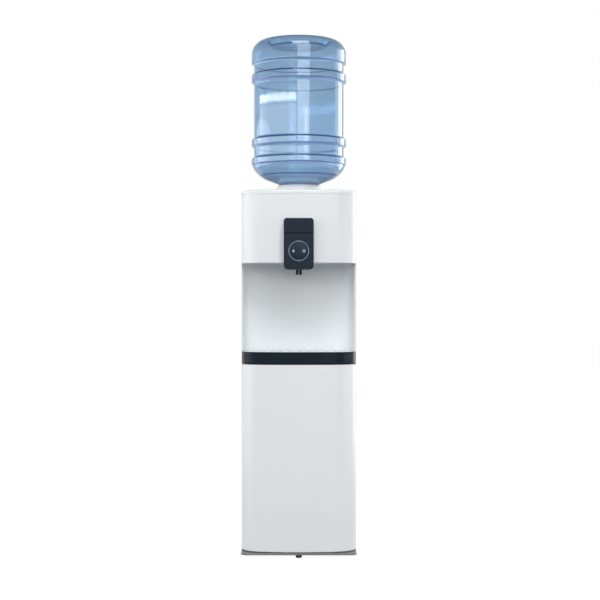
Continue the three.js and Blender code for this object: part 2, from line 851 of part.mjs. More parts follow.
// Cold tank on the upper shelf, in an open foam cup, with the evaporator coil wound round it
const shelfTop = ceilingTop;
const insulationBottom = shelfTop + fit;
const coldTankBottom = insulationBottom + insulationWall + fit;
const coldTankTop = cupBottom - fit;
const coldInsulationRadius = bottleY - frontY - valveRoom;
const coilOuter = coldInsulationRadius - insulationWall - coilChannelGap;
const coilRadius = coilOuter - coilTubeRadius;
const coldTankRadius = coilRadius * Math.cos(Math.PI / coilSteps) - coilTubeRadius - fit;
const lineY = linerBackY + lineSetback;
const coilStart = Math.asin((lineY - bottleY) / coilRadius);
const lineX = coilRadius * Math.cos(coilStart);
const valveY = frontY + valveSetback;
const domeShare = 0.11;
const vesselShares = [[0, 0], [0.82, 0], [0.95, 0.035], [1, domeShare]];
const valvePedestalBottom = ceilingTop + fit;
const valvePortZ = coldTankBottom + (coldTankTop - coldTankBottom) * domeShare + nozzleRadius + weld;
const valveBottom = valvePortZ - valveBodyHeight / 2;
const coilBottom = valvePortZ;

// A closed vessel with domed ends, from shares of its radius and height.
function vessel(radius, z0, z1) {
  const height = z1 - z0;
  const lower = vesselShares.map(([across, up]) => [radius * across, z0 + height * up]);
  const upper = vesselShares.map(([across, up]) => [radius * across, z1 - height * up]).reverse();
  return turned([...lower, ...upper], vesselSteps);
}

// An open foam cup with its floor.
function foamCup(inner, outer, z0, floorTop, z1) {
  const profile = [[0, z0], [outer, z0], [outer, z1], [inner, z1], [inner, floorTop], [0, floorTop]];
  return turned(profile, vesselSteps);
}

function makeColdSide() {
  const group = groupAt(0, bottleY, 0);
  const stubEnd = valveY + valveDepth / 2 + fit - bottleY;
  const stub = rodBack(nozzleRadius, stubEnd, -coldTankRadius / 2, smallSteps, valveSpread, valvePortZ);
  const tank = join(vessel(coldTankRadius, coldTankBottom, coldTankTop), stub);
  place("cold_tank", tank, finishes.stainless, group);

  const turns = coilTurns * coilSteps;
  const points = [];
  for (let i = 0; i <= turns; i += 1) {
    const angle = coilStart + (2 * Math.PI * i) / coilSteps;
    const z = coilBottom + (coilPitch * i) / coilSteps;
    points.push(new THREE.Vector3(coilRadius * Math.cos(angle), coilRadius * Math.sin(angle), z));
  }
  place("evaporator_coil", tubeAlong(points, coilTubeRadius, tubeSides), finishes.copper, group);

  const foamInner = coldInsulationRadius - insulationWall;
  const cup = foamCup(foamInner, coldInsulationRadius, insulationBottom, insulationBottom + insulationWall,
    coldTankTop - insulationWall / 2);
  const feedY = hotY - bottleY;
  const feedHole = rod(hoseRadius + holeClearance, 0, coldTankBottom, smallSteps, nozzleSpread, feedY);
  const lineHole = rod(lineRadius + holeClearance, 0, coldTankBottom, smallSteps, lineX, lineY - bottleY);
  const stubHole = rodBack(nozzleRadius + holeClearance, -coldInsulationRadius - overrun, 0, smallSteps,
    valveSpread, valvePortZ);
  place("cold_insulation", cut(cup, feedHole, lineHole, stubHole), finishes.foam, group);
}

// Hot tank on the lower shelf, behind the alcove
const upperShelfBottom = shelfTop - sheet;
const hotY = (linerBackY + innerRearY) / 2;
const hotFoamRadius = (innerRearY - linerBackY) / 2 - hotTankSpacing;
const hotFoamInner = hotFoamRadius - hotInsulationWall;
const heaterOuter = hotFoamInner - fit;
const hotTankRadius = heaterOuter - heaterThickness - fit;
const nozzleSpread = hotTankRadius * nozzleSpreadShare;
const hotNozzleTop = upperShelfBottom - hoseRoom;
const hotTankTop = hotNozzleTop - nozzleLength;
const hotTankBottom = hotTankTop - hotTankHeight;
const hotFoamBottom = hotTankBottom - fit - hotInsulationWall;
const lowerShelfTop = hotFoamBottom - fit;
const drainNozzleBottom = lowerShelfTop - sheet - nozzleLength;
const hotHoseX = -(coldInsulationRadius + innerHalfWidth) / 2;

function makeHotSide() {
  const group = groupAt(0, hotY, 0);
  const nozzle = (x) => rod(nozzleRadius, hotTankTop - weld, hotNozzleTop, smallSteps, x);
  const drain = rod(nozzleRadius, drainNozzleBottom, hotTankBottom + weld, smallSteps);
  const body = vessel(hotTankRadius, hotTankBottom, hotTankTop);
  const tank = join(body, nozzle(-nozzleSpread), nozzle(nozzleSpread), drain);
  place("hot_tank", tank, finishes.stainless, group);

  const heaterBottom = hotTankBottom + (hotTankHeight - heaterHeight) / 2;
  const heaterTop = heaterBottom + heaterHeight;
  const heater = ring(hotTankRadius + fit, heaterOuter, heaterBottom, heaterTop, vesselSteps);
  place("heater_band", heater, finishes.galvanised, group);

  const foamFloor = hotFoamBottom + hotInsulationWall;
  const cup = foamCup(hotFoamInner, hotFoamRadius, hotFoamBottom, foamFloor, hotTankTop);
  const hole = rod(nozzleRadius + holeClearance, 0, hotTankBottom, smallSteps);
  place("hot_insulation", cut(cup, hole), finishes.foam, group);

  const thermostatBottom = hotTankTop + fit;
  const thermostatTop = thermostatBottom + thermostatHeight;
  const thermostat = rod(thermostatRadius, thermostatBottom, thermostatTop, smallSteps, 0, -nozzleSpread);
  place("thermostat", thermostat, finishes.blackPaint, group);
}

// A pressed shelf between the side panels, with its front and rear edges turned down, and holes for pipes.
function innerShelf(top, holes) {
  const frontEdge = linerBackY + fit;
  const section = new THREE.Shape([
    new THREE.Vector2(frontEdge, top - shelfFlange),
    new THREE.Vector2(frontEdge + sheet, top - shelfFlange),
    new THREE.Vector2(frontEdge + sheet, top - sheet),
    new THREE.Vector2(innerRearY - sheet, top - sheet),
    new THREE.Vector2(innerRearY - sheet, top - shelfFlange),
    new THREE.Vector2(innerRearY, top - shelfFlange),
    new THREE.Vector2(innerRearY, top),
    new THREE.Vector2(frontEdge, top),
  ]);
  const tools = holes.map(([x, y, radius]) => {
    return rod(radius + holeClearance, top - shelfFlange, top + overrun, smallSteps, x, y);
  });
  return cut(sideways(section, -innerHalfWidth, innerHalfWidth), ...tools);
}

function makeInnerShelves() {
  const upper = innerShelf(shelfTop, [
    [nozzleSpread, hotY, hoseRadius],
    [lineX, lineY, lineRadius],
    [hotHoseX, hotY, hoseRadius],
  ]);
  place("upper_shelf", upper, finishes.galvanised);
  const lower = innerShelf(lowerShelfTop, [
    [0, hotY, nozzleRadius],
    [lineX, lineY, lineRadius],
  ]);
  place("lower_shelf", lower, finishes.galvanised);
}

// Valves over the ceiling, the spouts below them and the hoses that feed them
function makeValve(name, spoutName, side) {
  const group = groupAt(side * valveSpread, valveY, valveBottom);
  const halfBody = valveWidth / 2;
  const body = box(-halfBody, halfBody, -valveDepth / 2, valveDepth / 2, 0, valveBodyHeight);
  const coil = rod(valveCoilRadius, valveBodyHeight - weld, valveBodyHeight + valveCoilHeight, smallSteps);
  const pedestal = rod(valveCoilRadius, valvePedestalBottom - valveBottom, weld, smallSteps);
  place(name, join(body, coil, pedestal), finishes.whitePlastic, group);

  const spoutX = side * spoutPitch / 2;
  const endX = side * (valveSpread - valveWidth / 2 - fit);
  const spoutBottom = tapBottom - spoutDrop;
  const corners = [[spoutX, spoutY, spoutBottom], [spoutX, spoutY, valvePortZ], [endX, spoutY, valvePortZ]];
  const bore = rod(spoutBore, spoutBottom - overrun, tapBottom, smallSteps, spoutX, spoutY);
  const bend = Math.abs(endX - spoutX) - weld;
  place(spoutName, cut(pipe(corners, spoutRadius, bend, hoseSides), bore), finishes.tapDark);
}

function makeHoses() {
  const zBend = hotNozzleTop + hoseRoom / 2;
  const wallX = -(halfWidth - cornerRadius + hoseBend / 2);
  const hot = [
    [-nozzleSpread, hotY, hotNozzleTop + fit],
    [-nozzleSpread, hotY, zBend],
    [hotHoseX, hotY, zBend],
    [hotHoseX, hotY, valvePortZ],
    [hotHoseX, cornerY, valvePortZ],
    [wallX, valveY, valvePortZ],
    [-(valveSpread + valveWidth / 2 + fit), valveY, valvePortZ],
  ];
  place("hot_hose", pipe(hot, hoseRadius, hoseBend, hoseSides), finishes.silicone);
  const feed = [[nozzleSpread, hotY, hotNozzleTop + fit], [nozzleSpread, hotY, coldTankBottom - fit]];
  place("feed_hose", pipe(feed, hoseRadius, hoseBend, hoseSides), finishes.silicone);
  const drain = [
    [0, hotY, drainNozzleBottom - fit],
    [0, hotY, spigotZ],
    [spigotX, hotY, spigotZ],
    [spigotX, spigotInnerY - fit, spigotZ],
  ];
  place("drain_hose", pipe(drain, hoseRadius, hoseBend, hoseSides), finishes.silicone);
}

// Rear panel with its louvres, the hooks that carry the condenser, and holes for what passes through
const rearOuterY = rearPanelY + rearPanelThickness;
const rearPanelBottom = lowerPanelBottom + compressorBayHeight;
const fittingsZ = rearPanelBottom + fittingsRise;
const spigotX = halfWidth * spigotPlaceShare;
const spigotZ = fittingsZ;
const glandX = halfWidth * glandPlaceShare;
const switchPlateX = halfWidth * switchPlaceShare;
const switchPlateY = rearOuterY + fit;
const spigotInnerY = innerRearY - spigotLength / 2;
const switchXs = [switchPlateX - switchSpread / 2, switchPlateX + switchSpread / 2];

const tubeY = rearY + condenserReach - hookLip - condenserTubeRadius;
const condenserTop = sideTop - condenserTopMargin;
const condenserBottom = rearPanelBottom + condenserBottomMargin;
const passPitch = (condenserTop - condenserBottom) / (condenserPasses - 1);
const condenserHalf = halfWidth - condenserSideMargin;
const condenserWireSpread = condenserHalf * 2 * condenserWireSpreadShare;
const wirePitch = condenserWireSpread / (condenserWires - 1);
const hookX = (condenserWireSpread - wirePitch) / 2;
const hookLevels = [condenserTop - passPitch, condenserBottom + passPitch];
const dischargeX = condenserHalf - riserOffset;
const drierX = -dischargeX;
const brazeZ = condenserBottom - riserOffset * 3 - brazeTail;
const drierY = rearY - drierSetback;
const drierTop = rearPanelBottom - fittingDrop;

function switchOpening(x, y0, y1) {
  const half = switchWidth / 2 + fit;
  const halfHeight = switchHeight / 2 + switchClearance;
  return box(x - half, x + half, y0, y1, fittingsZ - halfHeight, fittingsZ + halfHeight);
}

function makeRearPanel() {
  const sheetPanel = box(-innerHalfWidth, innerHalfWidth, rearPanelY, rearOuterY, rearPanelBottom, sideTop);
  const hooks = [];
  const cuts = [];
  for (const level of hookLevels) {
    for (const side of [-1, 1]) {
      const x0 = side * hookX - hookWidth / 2;
      const tip = tubeY + condenserTubeRadius + hookLip;
      const seat = condenserTubeRadius + fit;
      hooks.push(box(x0, x0 + hookWidth, rearOuterY - weld, tip, level - seat - hookLip, level));
      const x1 = x0 + hookWidth;
      cuts.push(box(x0 - weld, x1 + weld, tubeY - seat, tubeY + seat, level - seat, level + overrun));
    }
  }
  for (let i = 0; i < louvreCount; i += 1) {
    const z0 = sideTop - louvreTopMargin - i * louvrePitch;
    for (const side of [-1, 1]) {
      const x = side * halfWidth * louvrePlaceShare;
      cuts.push(box(x - louvreWidth / 2, x + louvreWidth / 2, rearPanelY - overrun, rearOuterY + overrun,
        z0 - louvreHeight, z0));
    }
  }
  const through = (radius, x) => {
    return rodBack(radius + fit, rearPanelY - overrun, rearOuterY + overrun, smallSteps, x, fittingsZ);
  };
  cuts.push(through(spigotRadius, spigotX), through(glandRadius, glandX));
  cuts.push(...switchXs.map((x) => switchOpening(x, rearPanelY - overrun, rearOuterY + overrun)));
  place("rear_panel", cut(join(sheetPanel, ...hooks), ...cuts), finishes.galvanised);
}

// The serpentine runs from the riser along the top and back and forth, with upright wires welded to its
// front and its back. Both its ends turn down to the joints where the copper lines are brazed on.
function makeCondenser() {
  const jog = riserOffset;
  const riserX = condenserHalf + riserOffset;
  const corners = [
    [dischargeX, tubeY, brazeZ],
    [dischargeX, tubeY, condenserBottom - jog * 3],
    [riserX, tubeY, condenserBottom - jog],
    [riserX, tubeY, condenserTop],
  ];
  for (let pass = 0; pass < condenserPasses - 1; pass += 1) {
    const z = condenserTop - pass * passPitch;
    const x = pass % 2 === 0 ? -condenserHalf : condenserHalf;
    corners.push([x, tubeY, z, passPitch / 2], [x, tubeY, z - passPitch, passPitch / 2]);
  }
  corners.push([drierX, tubeY, condenserBottom]);
  corners.push([drierX, tubeY, brazeZ]);
  const tube = pipe(corners, condenserTubeRadius, jog, tubeSides);
  const wires = [];
  const offset = condenserTubeRadius + condenserWireRadius - condenserBite;
  for (let i = 0; i < condenserWires; i += 1) {
    const x = (i - (condenserWires - 1) / 2) * wirePitch;
    for (const side of [-1, 1]) {
      wires.push(rod(condenserWireRadius, condenserBottom - wireProud, condenserTop + wireProud, wireSides,
        x, tubeY + side * offset));
    }
  }
  place("condenser", join(tube, ...wires), finishes.blackPaint);
}

// Compressor: a welded steel can on a plate that stands on four rubber grommets
const canShares = [[0, 0], [0.62, 0], [0.88, 0.05], [1, 0.17]];
const suctionY = compressorY + compressorRadius * stubSideShare;
const dischargeY = compressorY - compressorRadius * stubSideShare;
const suctionZ = legTop + compressorHeight * suctionHeightShare;
const dischargeZ = legTop + compressorHeight * dischargeHeightShare;
const stubEndX = compressorRadius + stubLength;

function makeCompressor() {
  const group = groupAt(0, compressorY, 0);
  const bottom = legTop - weld;
  const top = legTop + compressorHeight;
  const seamZ = (bottom + top) / 2;
  const canProfile = canShares.map(([across, up]) => [compressorRadius * across, compressorHeight * up]);
  const lower = canProfile.map(([radius, rise]) => [radius, bottom + rise]);
  const upper = canProfile.map(([radius, rise]) => [radius, top - rise]).reverse();
  const seamRadius = compressorRadius + compressorSeam;
  const half = compressorSeamHeight / 2;
  const seam = [[compressorRadius, seamZ - half], [seamRadius, seamZ - half], [seamRadius, seamZ + half],
    [compressorRadius, seamZ + half]];
  const can = turned([...lower, ...seam, ...upper], vesselSteps);
  const plateX = compressorLegSpreadX / 2 + compressorPlateMargin;
  const plateY = compressorLegSpreadY / 2 + compressorPlateMargin;
  const plan = roundedRectangle(-plateX, plateX, -plateY, plateY, compressorPlateMargin);
  const plate = standing(plan, legBottom, legTop);
  const stub = (y, z) => rod(stubRadius, compressorRadius / 2, stubEndX, smallSteps).rotateY(Math.PI / 2)
    .translate(0, y - compressorY, z);
  const whole = join(can, plate, stub(suctionY, suctionZ), stub(dischargeY, dischargeZ));
  const holes = legPlaces.map(([x, y]) => {
    const radius = studRadius + holeClearance;
    return rod(radius, legBottom - overrun, legTop + overrun, pinSteps, x, y - compressorY);
  });
  place("compressor", cut(whole, ...holes), finishes.blackPaint, group);

  const coverZ = legTop + compressorHeight * terminalRiseShare;
  const cover = box(-compressorRadius - terminalDepth, -compressorRadius / 2, -terminalWidth / 2,
    terminalWidth / 2, coverZ, coverZ + terminalHeight);
  const canClear = rod(seamRadius + fit, 0, top, vesselSteps);
  place("terminal_cover", cut(cover, canClear), finishes.tapDark, group);

  const inner = studRadius + fit;
  const third = grommetHeight / 3;
  legPlaces.forEach(([x, y], i) => {
    const waist = grommetRadius - grommetWaist;
    const grommet = turned([
      [inner, grommetBottom],
      [grommetRadius, grommetBottom],
      [grommetRadius, grommetBottom + third],
      [waist, grommetBottom + third],
      [waist, grommetTop - third],
      [grommetRadius, grommetTop - third],
      [grommetRadius, grommetTop],
      [inner, grommetTop],
      [inner, grommetBottom],
    ], pinSteps);
    place(`compressor_grommet_${i + 1}`, grommet, finishes.rubber, groupAt(x, y, 0));
  });
}

function makeLines() {
  const startX = stubEndX + fit;
  const discharge = [
    [startX, dischargeY, dischargeZ],
    [dischargeX, dischargeY, dischargeZ],
    [dischargeX, tubeY, dischargeZ],
    [dischargeX, tubeY, brazeZ - fit],
  ];
  place("discharge_line", pipe(discharge, lineRadius, lineBend, tubeSides), finishes.copper);
  const suction = [
    [lineX, lineY, coilBottom - coilTubeRadius - fit],
    [lineX, lineY, rearPanelBottom],
    [startX + suctionRun, suctionY, suctionZ],
    [startX, suctionY, suctionZ],
  ];
  place("suction_line", pipe(suction, lineRadius, lineBend, tubeSides), finishes.copper);

  const z1 = drierTop - lineBend / 2 - fit;
  const z0 = z1 - drierLength - drierNeck * 2;
  const drier = turned([
    [0, z0],
    [lineRadius, z0],
    [lineRadius, z0 + drierNeck / 2],
    [drierRadius, z0 + drierNeck],
    [drierRadius, z1 - drierNeck],
    [lineRadius, z1 - drierNeck / 2],
    [lineRadius, z1],
    [0, z1],
  ], smallSteps);
  const inlet = [
    [0, tubeY - drierY, brazeZ - fit],
    [0, tubeY - drierY, drierTop + lineBend],
    [0, 0, drierTop + lineBend],
    [0, 0, z1 - weld],
  ];
  const whole = join(drier, pipe(inlet, lineRadius, lineBend, tubeSides));
  place("filter_drier", whole, finishes.copper, groupAt(drierX, drierY, 0));
}

// Fittings on the back: drain spigot and its cap, cord gland, switch plate and its two rocker switches
function makeRearFittings() {
  const seatY = rearOuterY + fit;
  const spigotEnd = seatY + spigotFlange + spigotLength;
  const flange = rodBack(spigotFlangeRadius, seatY, seatY + spigotFlange, smallSteps, spigotX, spigotZ);
  const body = rodBack(spigotRadius, spigotInnerY, spigotEnd, smallSteps, spigotX, spigotZ);
  const bore = rodBack(spigotRadius / 2, rearOuterY, spigotEnd + overrun, smallSteps, spigotX, spigotZ);
  place("drain_spigot", cut(join(flange, body), bore), finishes.silicone);

  const capStart = seatY + spigotFlange + fit;
  const capEnd = spigotEnd + fit + drainCapWall;
  const shell = rodBack(drainCapRadius, capStart, capEnd, smallSteps, spigotX, spigotZ);
  // The spigot has flat sides, so the cap's bore is opened until it turns over the spigot's corners.
  const capBore = (spigotRadius + fit) / Math.cos(Math.PI / smallSteps);
  const inside = rodBack(capBore, capStart - overrun, spigotEnd + fit, smallSteps, spigotX, spigotZ);
  const grip = box(spigotX - drainCapRadius - drainCapWall, spigotX + drainCapRadius + drainCapWall,
    capEnd - drainCapWall * 2, capEnd, spigotZ - drainCapWall / 2, spigotZ + drainCapWall / 2);
  place("drain_cap", cut(join(shell, grip), inside), finishes.silicone);

  const glandEnd = seatY + glandFlange + glandLength;
  const glandStart = rearPanelY - glandFlange;
  const glandParts = join(
    rodBack(glandFlangeRadius, seatY, seatY + glandFlange, smallSteps, glandX, fittingsZ),
    rodBack(glandRadius, glandStart, glandEnd, smallSteps, glandX, fittingsZ),
  );
  const holeStart = glandStart - overrun;
  const glandHole = rodBack(glandBore, holeStart, glandEnd + overrun, smallSteps, glandX, fittingsZ);
  place("cord_gland", cut(glandParts, glandHole), finishes.rubber);

  const halfPlate = switchPlateWidth / 2;
  const halfHeight = switchPlateHeight / 2;
  const plateEnd = switchPlateY + switchPlateThickness;
  const outline = roundedRectangle(switchPlateX - halfPlate, switchPlateX + halfPlate, fittingsZ - halfHeight,
    fittingsZ + halfHeight, switchPlateThickness);
  const openings = switchXs.map((x) => switchOpening(x, switchPlateY - overrun, plateEnd + overrun));
  place("switch_plate", cut(facing(outline, switchPlateY, plateEnd), ...openings), finishes.tapDark);

  const h = switchHeight / 2;
  const back = -switchDepth;
  const profile = new THREE.Shape([
    new THREE.Vector2(back, -h / 2),
    new THREE.Vector2(0, -h),
    new THREE.Vector2(switchProud, -h),
    new THREE.Vector2(switchProud / 3, 0),
    new THREE.Vector2(switchProud, h),
    new THREE.Vector2(0, h),
    new THREE.Vector2(back, h / 2),
  ]);
  const names = ["heat_switch", "cool_switch"];
  const colours = [finishes.redPlastic, finishes.greenPlastic];
  names.forEach((name, i) => {
    const rocker = sideways(profile, -switchWidth / 2, switchWidth / 2);
    rocker.rotateX(THREE.MathUtils.degToRad(switchTilt));
    place(name, rocker, colours[i], groupAt(switchXs[i], plateEnd, fittingsZ));
  });

  const boxTop = lowerShelfTop - shelfFlange - powerBoxWidth;
  const powerX = -innerHalfWidth + fit;
  const powerY = hotY - powerBoxHeight / 2;
  const powerPlan = roundedRectangle(powerX, powerX + powerBoxDepth, powerY, powerY + powerBoxHeight,
    powerBoxRadius);
  place("power_box", standing(powerPlan, boxTop - powerBoxWidth, boxTop), finishes.greyPlastic);
}

// Tap module: a housing plugged through the notch in the head panel, two covers, and the push disc
const tapFaceY = frontY - tapFaceReach;
const coverBackY = tapFaceY + tapCoverDepth;
const housingFrontY = coverBackY + fit;
const seamZ = tapTop - upperCoverHeight;
const discZ = tapBottom + discHeight;
const discRadius = ringRadius - ringWall - discClearance;
const boardBackY = housingFrontY + boardSetback;
const boardZ = discZ + boardRise;
const discFrontY = frontY - tapReach;
const rimFrontY = discFrontY + discDome;
const hingeY = rimFrontY + discRim / 2 + hubRadius - discRim / 4;
const tapHalf = tapWidth / 2;

function makeTapHousing() {
  const outline = roundedRectangle(-tapHalf, tapHalf, tapBottom, tapTop, tapBottomRadius, tapTopRadius);
  const neckBottom = ceilingTop + fit;
  const neckTop = notchTop - fit;
  const neckHalf = tapNeckWidth / 2;
  const neckBack = frontY + tapNeckDepth;
  const block = facing(outline, housingFrontY, neckBack);
  const behind = standing(shapeOf(frontCurve(-fit)), alcoveTop - fit, tapTop + overrun);
  const neck = box(-neckHalf, neckHalf, frontY - overrun, neckBack + overrun, neckBottom, neckTop);
  const tongueHalf = tongueWidth / 2;
  const tongueEnd = frontY + tongueReach;
  const tonguePlan = roundedRectangle(-tongueHalf, tongueHalf, frontY - overrun, tongueEnd, tapBottomRadius);
  const tongue = standing(tonguePlan, tapBottom, alcoveTop - fit);
  const shell = join(cut(block, cut(behind, neck)), tongue);

  const rimHalf = tapHalf - tapWall;
  const rimInner = roundedRectangle(-rimHalf, rimHalf, tapBottom + tapWall, tapTop - tapWall,
    tapBottomRadius - tapWall, tapTopRadius - tapWall);
  const frontHollow = facing(rimInner, housingFrontY - overrun, frontY - tapRimThickness);
  const neckHollow = box(-neckHalf + tapWall, neckHalf - tapWall, frontY - tapRimThickness - overrun,
    neckBack - tapWall, neckBottom + tapWall, neckTop - tapWall);
  const bores = [-1, 1].map((side) => {
    const x = side * spoutPitch / 2;
    return rod(spoutRadius + fit, tapBottom - overrun, alcoveTop + overrun, hoseSides, x, spoutY);
  });
  const posts = [];
  for (const side of [-1, 1]) {
    for (const up of [-1, 1]) {
      const z = boardZ + up * (boardHeight / 2 - boardPostRadius * 3);
      const x = side * boardWidth * boardPostShare;
      posts.push(rodBack(boardPostRadius, boardBackY + fit, neckBack - weld, pinSteps, x, z));
    }
  }
  place("tap_housing", join(cut(shell, frontHollow, neckHollow, ...bores), ...posts), finishes.tapPlastic);
}

// A front cover: a shell with softened front edges and an open back.
function tapCover(z0, z1, lowRadius, highRadius) {
  const outline = roundedRectangle(-tapHalf, tapHalf, z0, z1, lowRadius, highRadius);
  const soft = new THREE.ExtrudeGeometry(outline, {
    depth: tapCoverDepth,
    bevelThickness: tapEdge,
    bevelSize: tapEdge,
    bevelOffset: -tapEdge,
    bevelSegments: bevelSteps,
  }).rotateX(Math.PI / 2).translate(0, coverBackY + tapEdge, 0);
  const behind = box(-tapWidth, tapWidth, coverBackY, frontY, z0 - overrun, z1 + overrun);
  const inner = roundedRectangle(-tapHalf + tapWall, tapHalf - tapWall, z0 + tapWall, z1 - tapWall,
    Math.max(lowRadius - tapWall, weld), Math.max(highRadius - tapWall, weld));
  return cut(soft, behind, facing(inner, tapFaceY + tapWall, coverBackY + overrun));
}

function makeTapFront() {
  const seamRadius = tapEdge + weld;
  place("tap_upper_cover", tapCover(seamZ + fit / 2, tapTop, seamRadius, tapTopRadius), finishes.tapPlastic);
  const hole = rodBack(ringRadius + fit, tapFaceY - overrun, coverBackY + overrun, ringSteps, 0, discZ);
  const lower = cut(tapCover(tapBottom, seamZ - fit / 2, tapBottomRadius, seamRadius), hole);
  place("tap_lower_cover", lower, finishes.tapPlastic);

  const group = groupAt(0, hingeY, discZ);
  const ringFront = tapFaceY - ringProud - hingeY;
  const ringBody = ring(ringRadius - ringWall, ringRadius, -(coverBackY - hingeY), -ringFront, ringSteps)
    .rotateX(Math.PI / 2);
  const pinHole = rod(pinRadius + pinClearance, -ringRadius - overrun, ringRadius + overrun, pinSteps);
  place("selector_ring", cut(ringBody, pinHole), finishes.silverBlue, group);

  const pinHalf = ringRadius - pinClearance;
  place("rocker_pin", rod(pinRadius, -pinHalf, pinHalf, pinSteps), finishes.stainless, group);

  const rimFront = hingeY - rimFrontY;
  const quarter = arc(0, 0, 1, 0, Math.PI / 2, filletSteps);
  const dome = quarter.map(({ x, y }) => [discRadius * x, rimFront + discDome * y]);
  dome[dome.length - 1][0] = 0;
  const face = turned([[0, rimFront - discRim], [discRadius, rimFront - discRim], ...dome], ringSteps)
    .rotateX(Math.PI / 2);
  const hubHalf = discRadius - hubRadius;
  const disc = cut(join(face, rod(hubRadius, -hubHalf, hubHalf, smallSteps)), pinHole);
  place("selector_rocker", disc, finishes.tapPlastic, group);

  const boardFrontY = boardBackY - boardThickness;
  const halfBoard = boardWidth / 2;
  const boardBottom = boardZ - boardHeight / 2;
  const board = box(-halfBoard, halfBoard, boardFrontY, boardBackY, boardBottom, boardBottom + boardHeight);
  const buttonPlay = buttonSpread * Math.tan(THREE.MathUtils.degToRad(discTilt)) + fit;
  const buttonTip = rimFrontY + discRim + buttonPlay;
  const buttons = [-1, 1].map((side) => {
    const root = boardBackY - boardThickness / 2;
    return rodBack(buttonRadius, buttonTip, root, pinSteps, side * buttonSpread, discZ);
  });
  place("control_board", join(board, ...buttons), finishes.board);
}

makeBase();
makeFrontPanels();
place("left_side_panel", sidePanel(-1), finishes.whiteSteel);
place("right_side_panel", sidePanel(1), finishes.whiteSteel);
makeTopCover();
makeLiner();
makeTrayShelf();
makeTray();
makeGrille();
makeBottle();
makeSeat();
makeColdSide();
makeHotSide();
makeInnerShelves();
makeValve("hot_valve", "hot_spout", -1);
makeValve("cold_valve", "cold_spout", 1);
makeHoses();
makeRearPanel();
makeCondenser();
makeCompressor();
makeLines();
makeRearFittings();
makeTapHousing();
makeTapFront();

export default dispenser;
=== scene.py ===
# %% [markdown]
# A bottled water dispenser, from bare solids to a finished picture.
# The frame holds every piece at its true size and place. This file gives each one its smooth surface and its
# finish, then lights the whole as a studio would. Lengths are metres, +Z is up and the front faces -Y.

# %% Load the frame
import json
import math

import bmesh
import bpy
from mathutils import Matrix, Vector


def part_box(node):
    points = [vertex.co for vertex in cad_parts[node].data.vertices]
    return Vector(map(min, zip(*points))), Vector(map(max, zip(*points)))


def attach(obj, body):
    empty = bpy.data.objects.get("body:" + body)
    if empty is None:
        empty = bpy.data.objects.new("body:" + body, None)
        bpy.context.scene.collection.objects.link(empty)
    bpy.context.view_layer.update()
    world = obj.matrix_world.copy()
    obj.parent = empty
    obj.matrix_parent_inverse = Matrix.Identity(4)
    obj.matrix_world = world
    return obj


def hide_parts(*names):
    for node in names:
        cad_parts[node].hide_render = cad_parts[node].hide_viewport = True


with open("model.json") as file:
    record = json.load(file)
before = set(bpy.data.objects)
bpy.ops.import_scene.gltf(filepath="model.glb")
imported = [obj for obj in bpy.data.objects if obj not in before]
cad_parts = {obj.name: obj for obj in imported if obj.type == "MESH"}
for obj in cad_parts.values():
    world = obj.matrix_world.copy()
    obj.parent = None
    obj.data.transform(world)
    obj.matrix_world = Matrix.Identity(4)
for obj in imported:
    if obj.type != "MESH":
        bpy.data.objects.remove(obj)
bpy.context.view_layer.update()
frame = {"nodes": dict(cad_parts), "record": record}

MM = 0.001
FIT = 0.3 * MM
UP = Vector((0, 0, 1))
BACK = Vector((0, 1, 0))
QUARTER = math.pi / 2
print("nodes in the frame:", len(frame["nodes"]))

# %% [markdown]
# An operator works on whatever is selected, so each step starts from an empty selection.
# Faces, edges and corners are picked by a test on the place of their middle, which is what the eye does when
# it clicks on them. This is sturdier than a list of numbers, because the numbers change with every cut.

# %% Picking things up and selecting parts of them
MODES = {"verts": (True, False, False), "edges": (False, True, False), "faces": (False, False, True)}
MERGE = MM / 1000


def done(piece=None):
    if bpy.context.mode != "OBJECT":
        bpy.ops.object.mode_set(mode="OBJECT")
    return piece


def nothing_selected():
    done()
    bpy.ops.object.select_all(action="DESELECT")


def take(piece):
    nothing_selected()
    piece.select_set(True)
    bpy.context.view_layer.objects.active = piece


def edit(piece, kind="verts"):
    take(piece)
    bpy.ops.object.mode_set(mode="EDIT")
    bpy.context.tool_settings.mesh_select_mode = MODES[kind]
    bpy.ops.mesh.select_all(action="DESELECT")


def middle(element):
    if hasattr(element, "co"):
        return element.co
    return sum((v.co for v in element.verts), Vector()) / len(element.verts)


def choose(piece, kind, test):
    """Selects the corners, edges or faces that pass a test on their middle and on themselves."""
    edit(piece, kind)
    mesh = bmesh.from_edit_mesh(piece.data)
    for element in getattr(mesh, kind):
        element.select_set(test(middle(element), element))
    mesh.select_flush_mode()
    bmesh.update_edit_mesh(piece.data)


print("selection tools ready")

# %% [markdown]
# Most housings here are an outline pulled up, or a profile turned round an axis.
# Both start as a pen line: one corner that is extruded along straight runs and spun along arcs. A spin round
# the arc's own centre gives exact arcs, where moving points by eye would leave the curve lumpy.

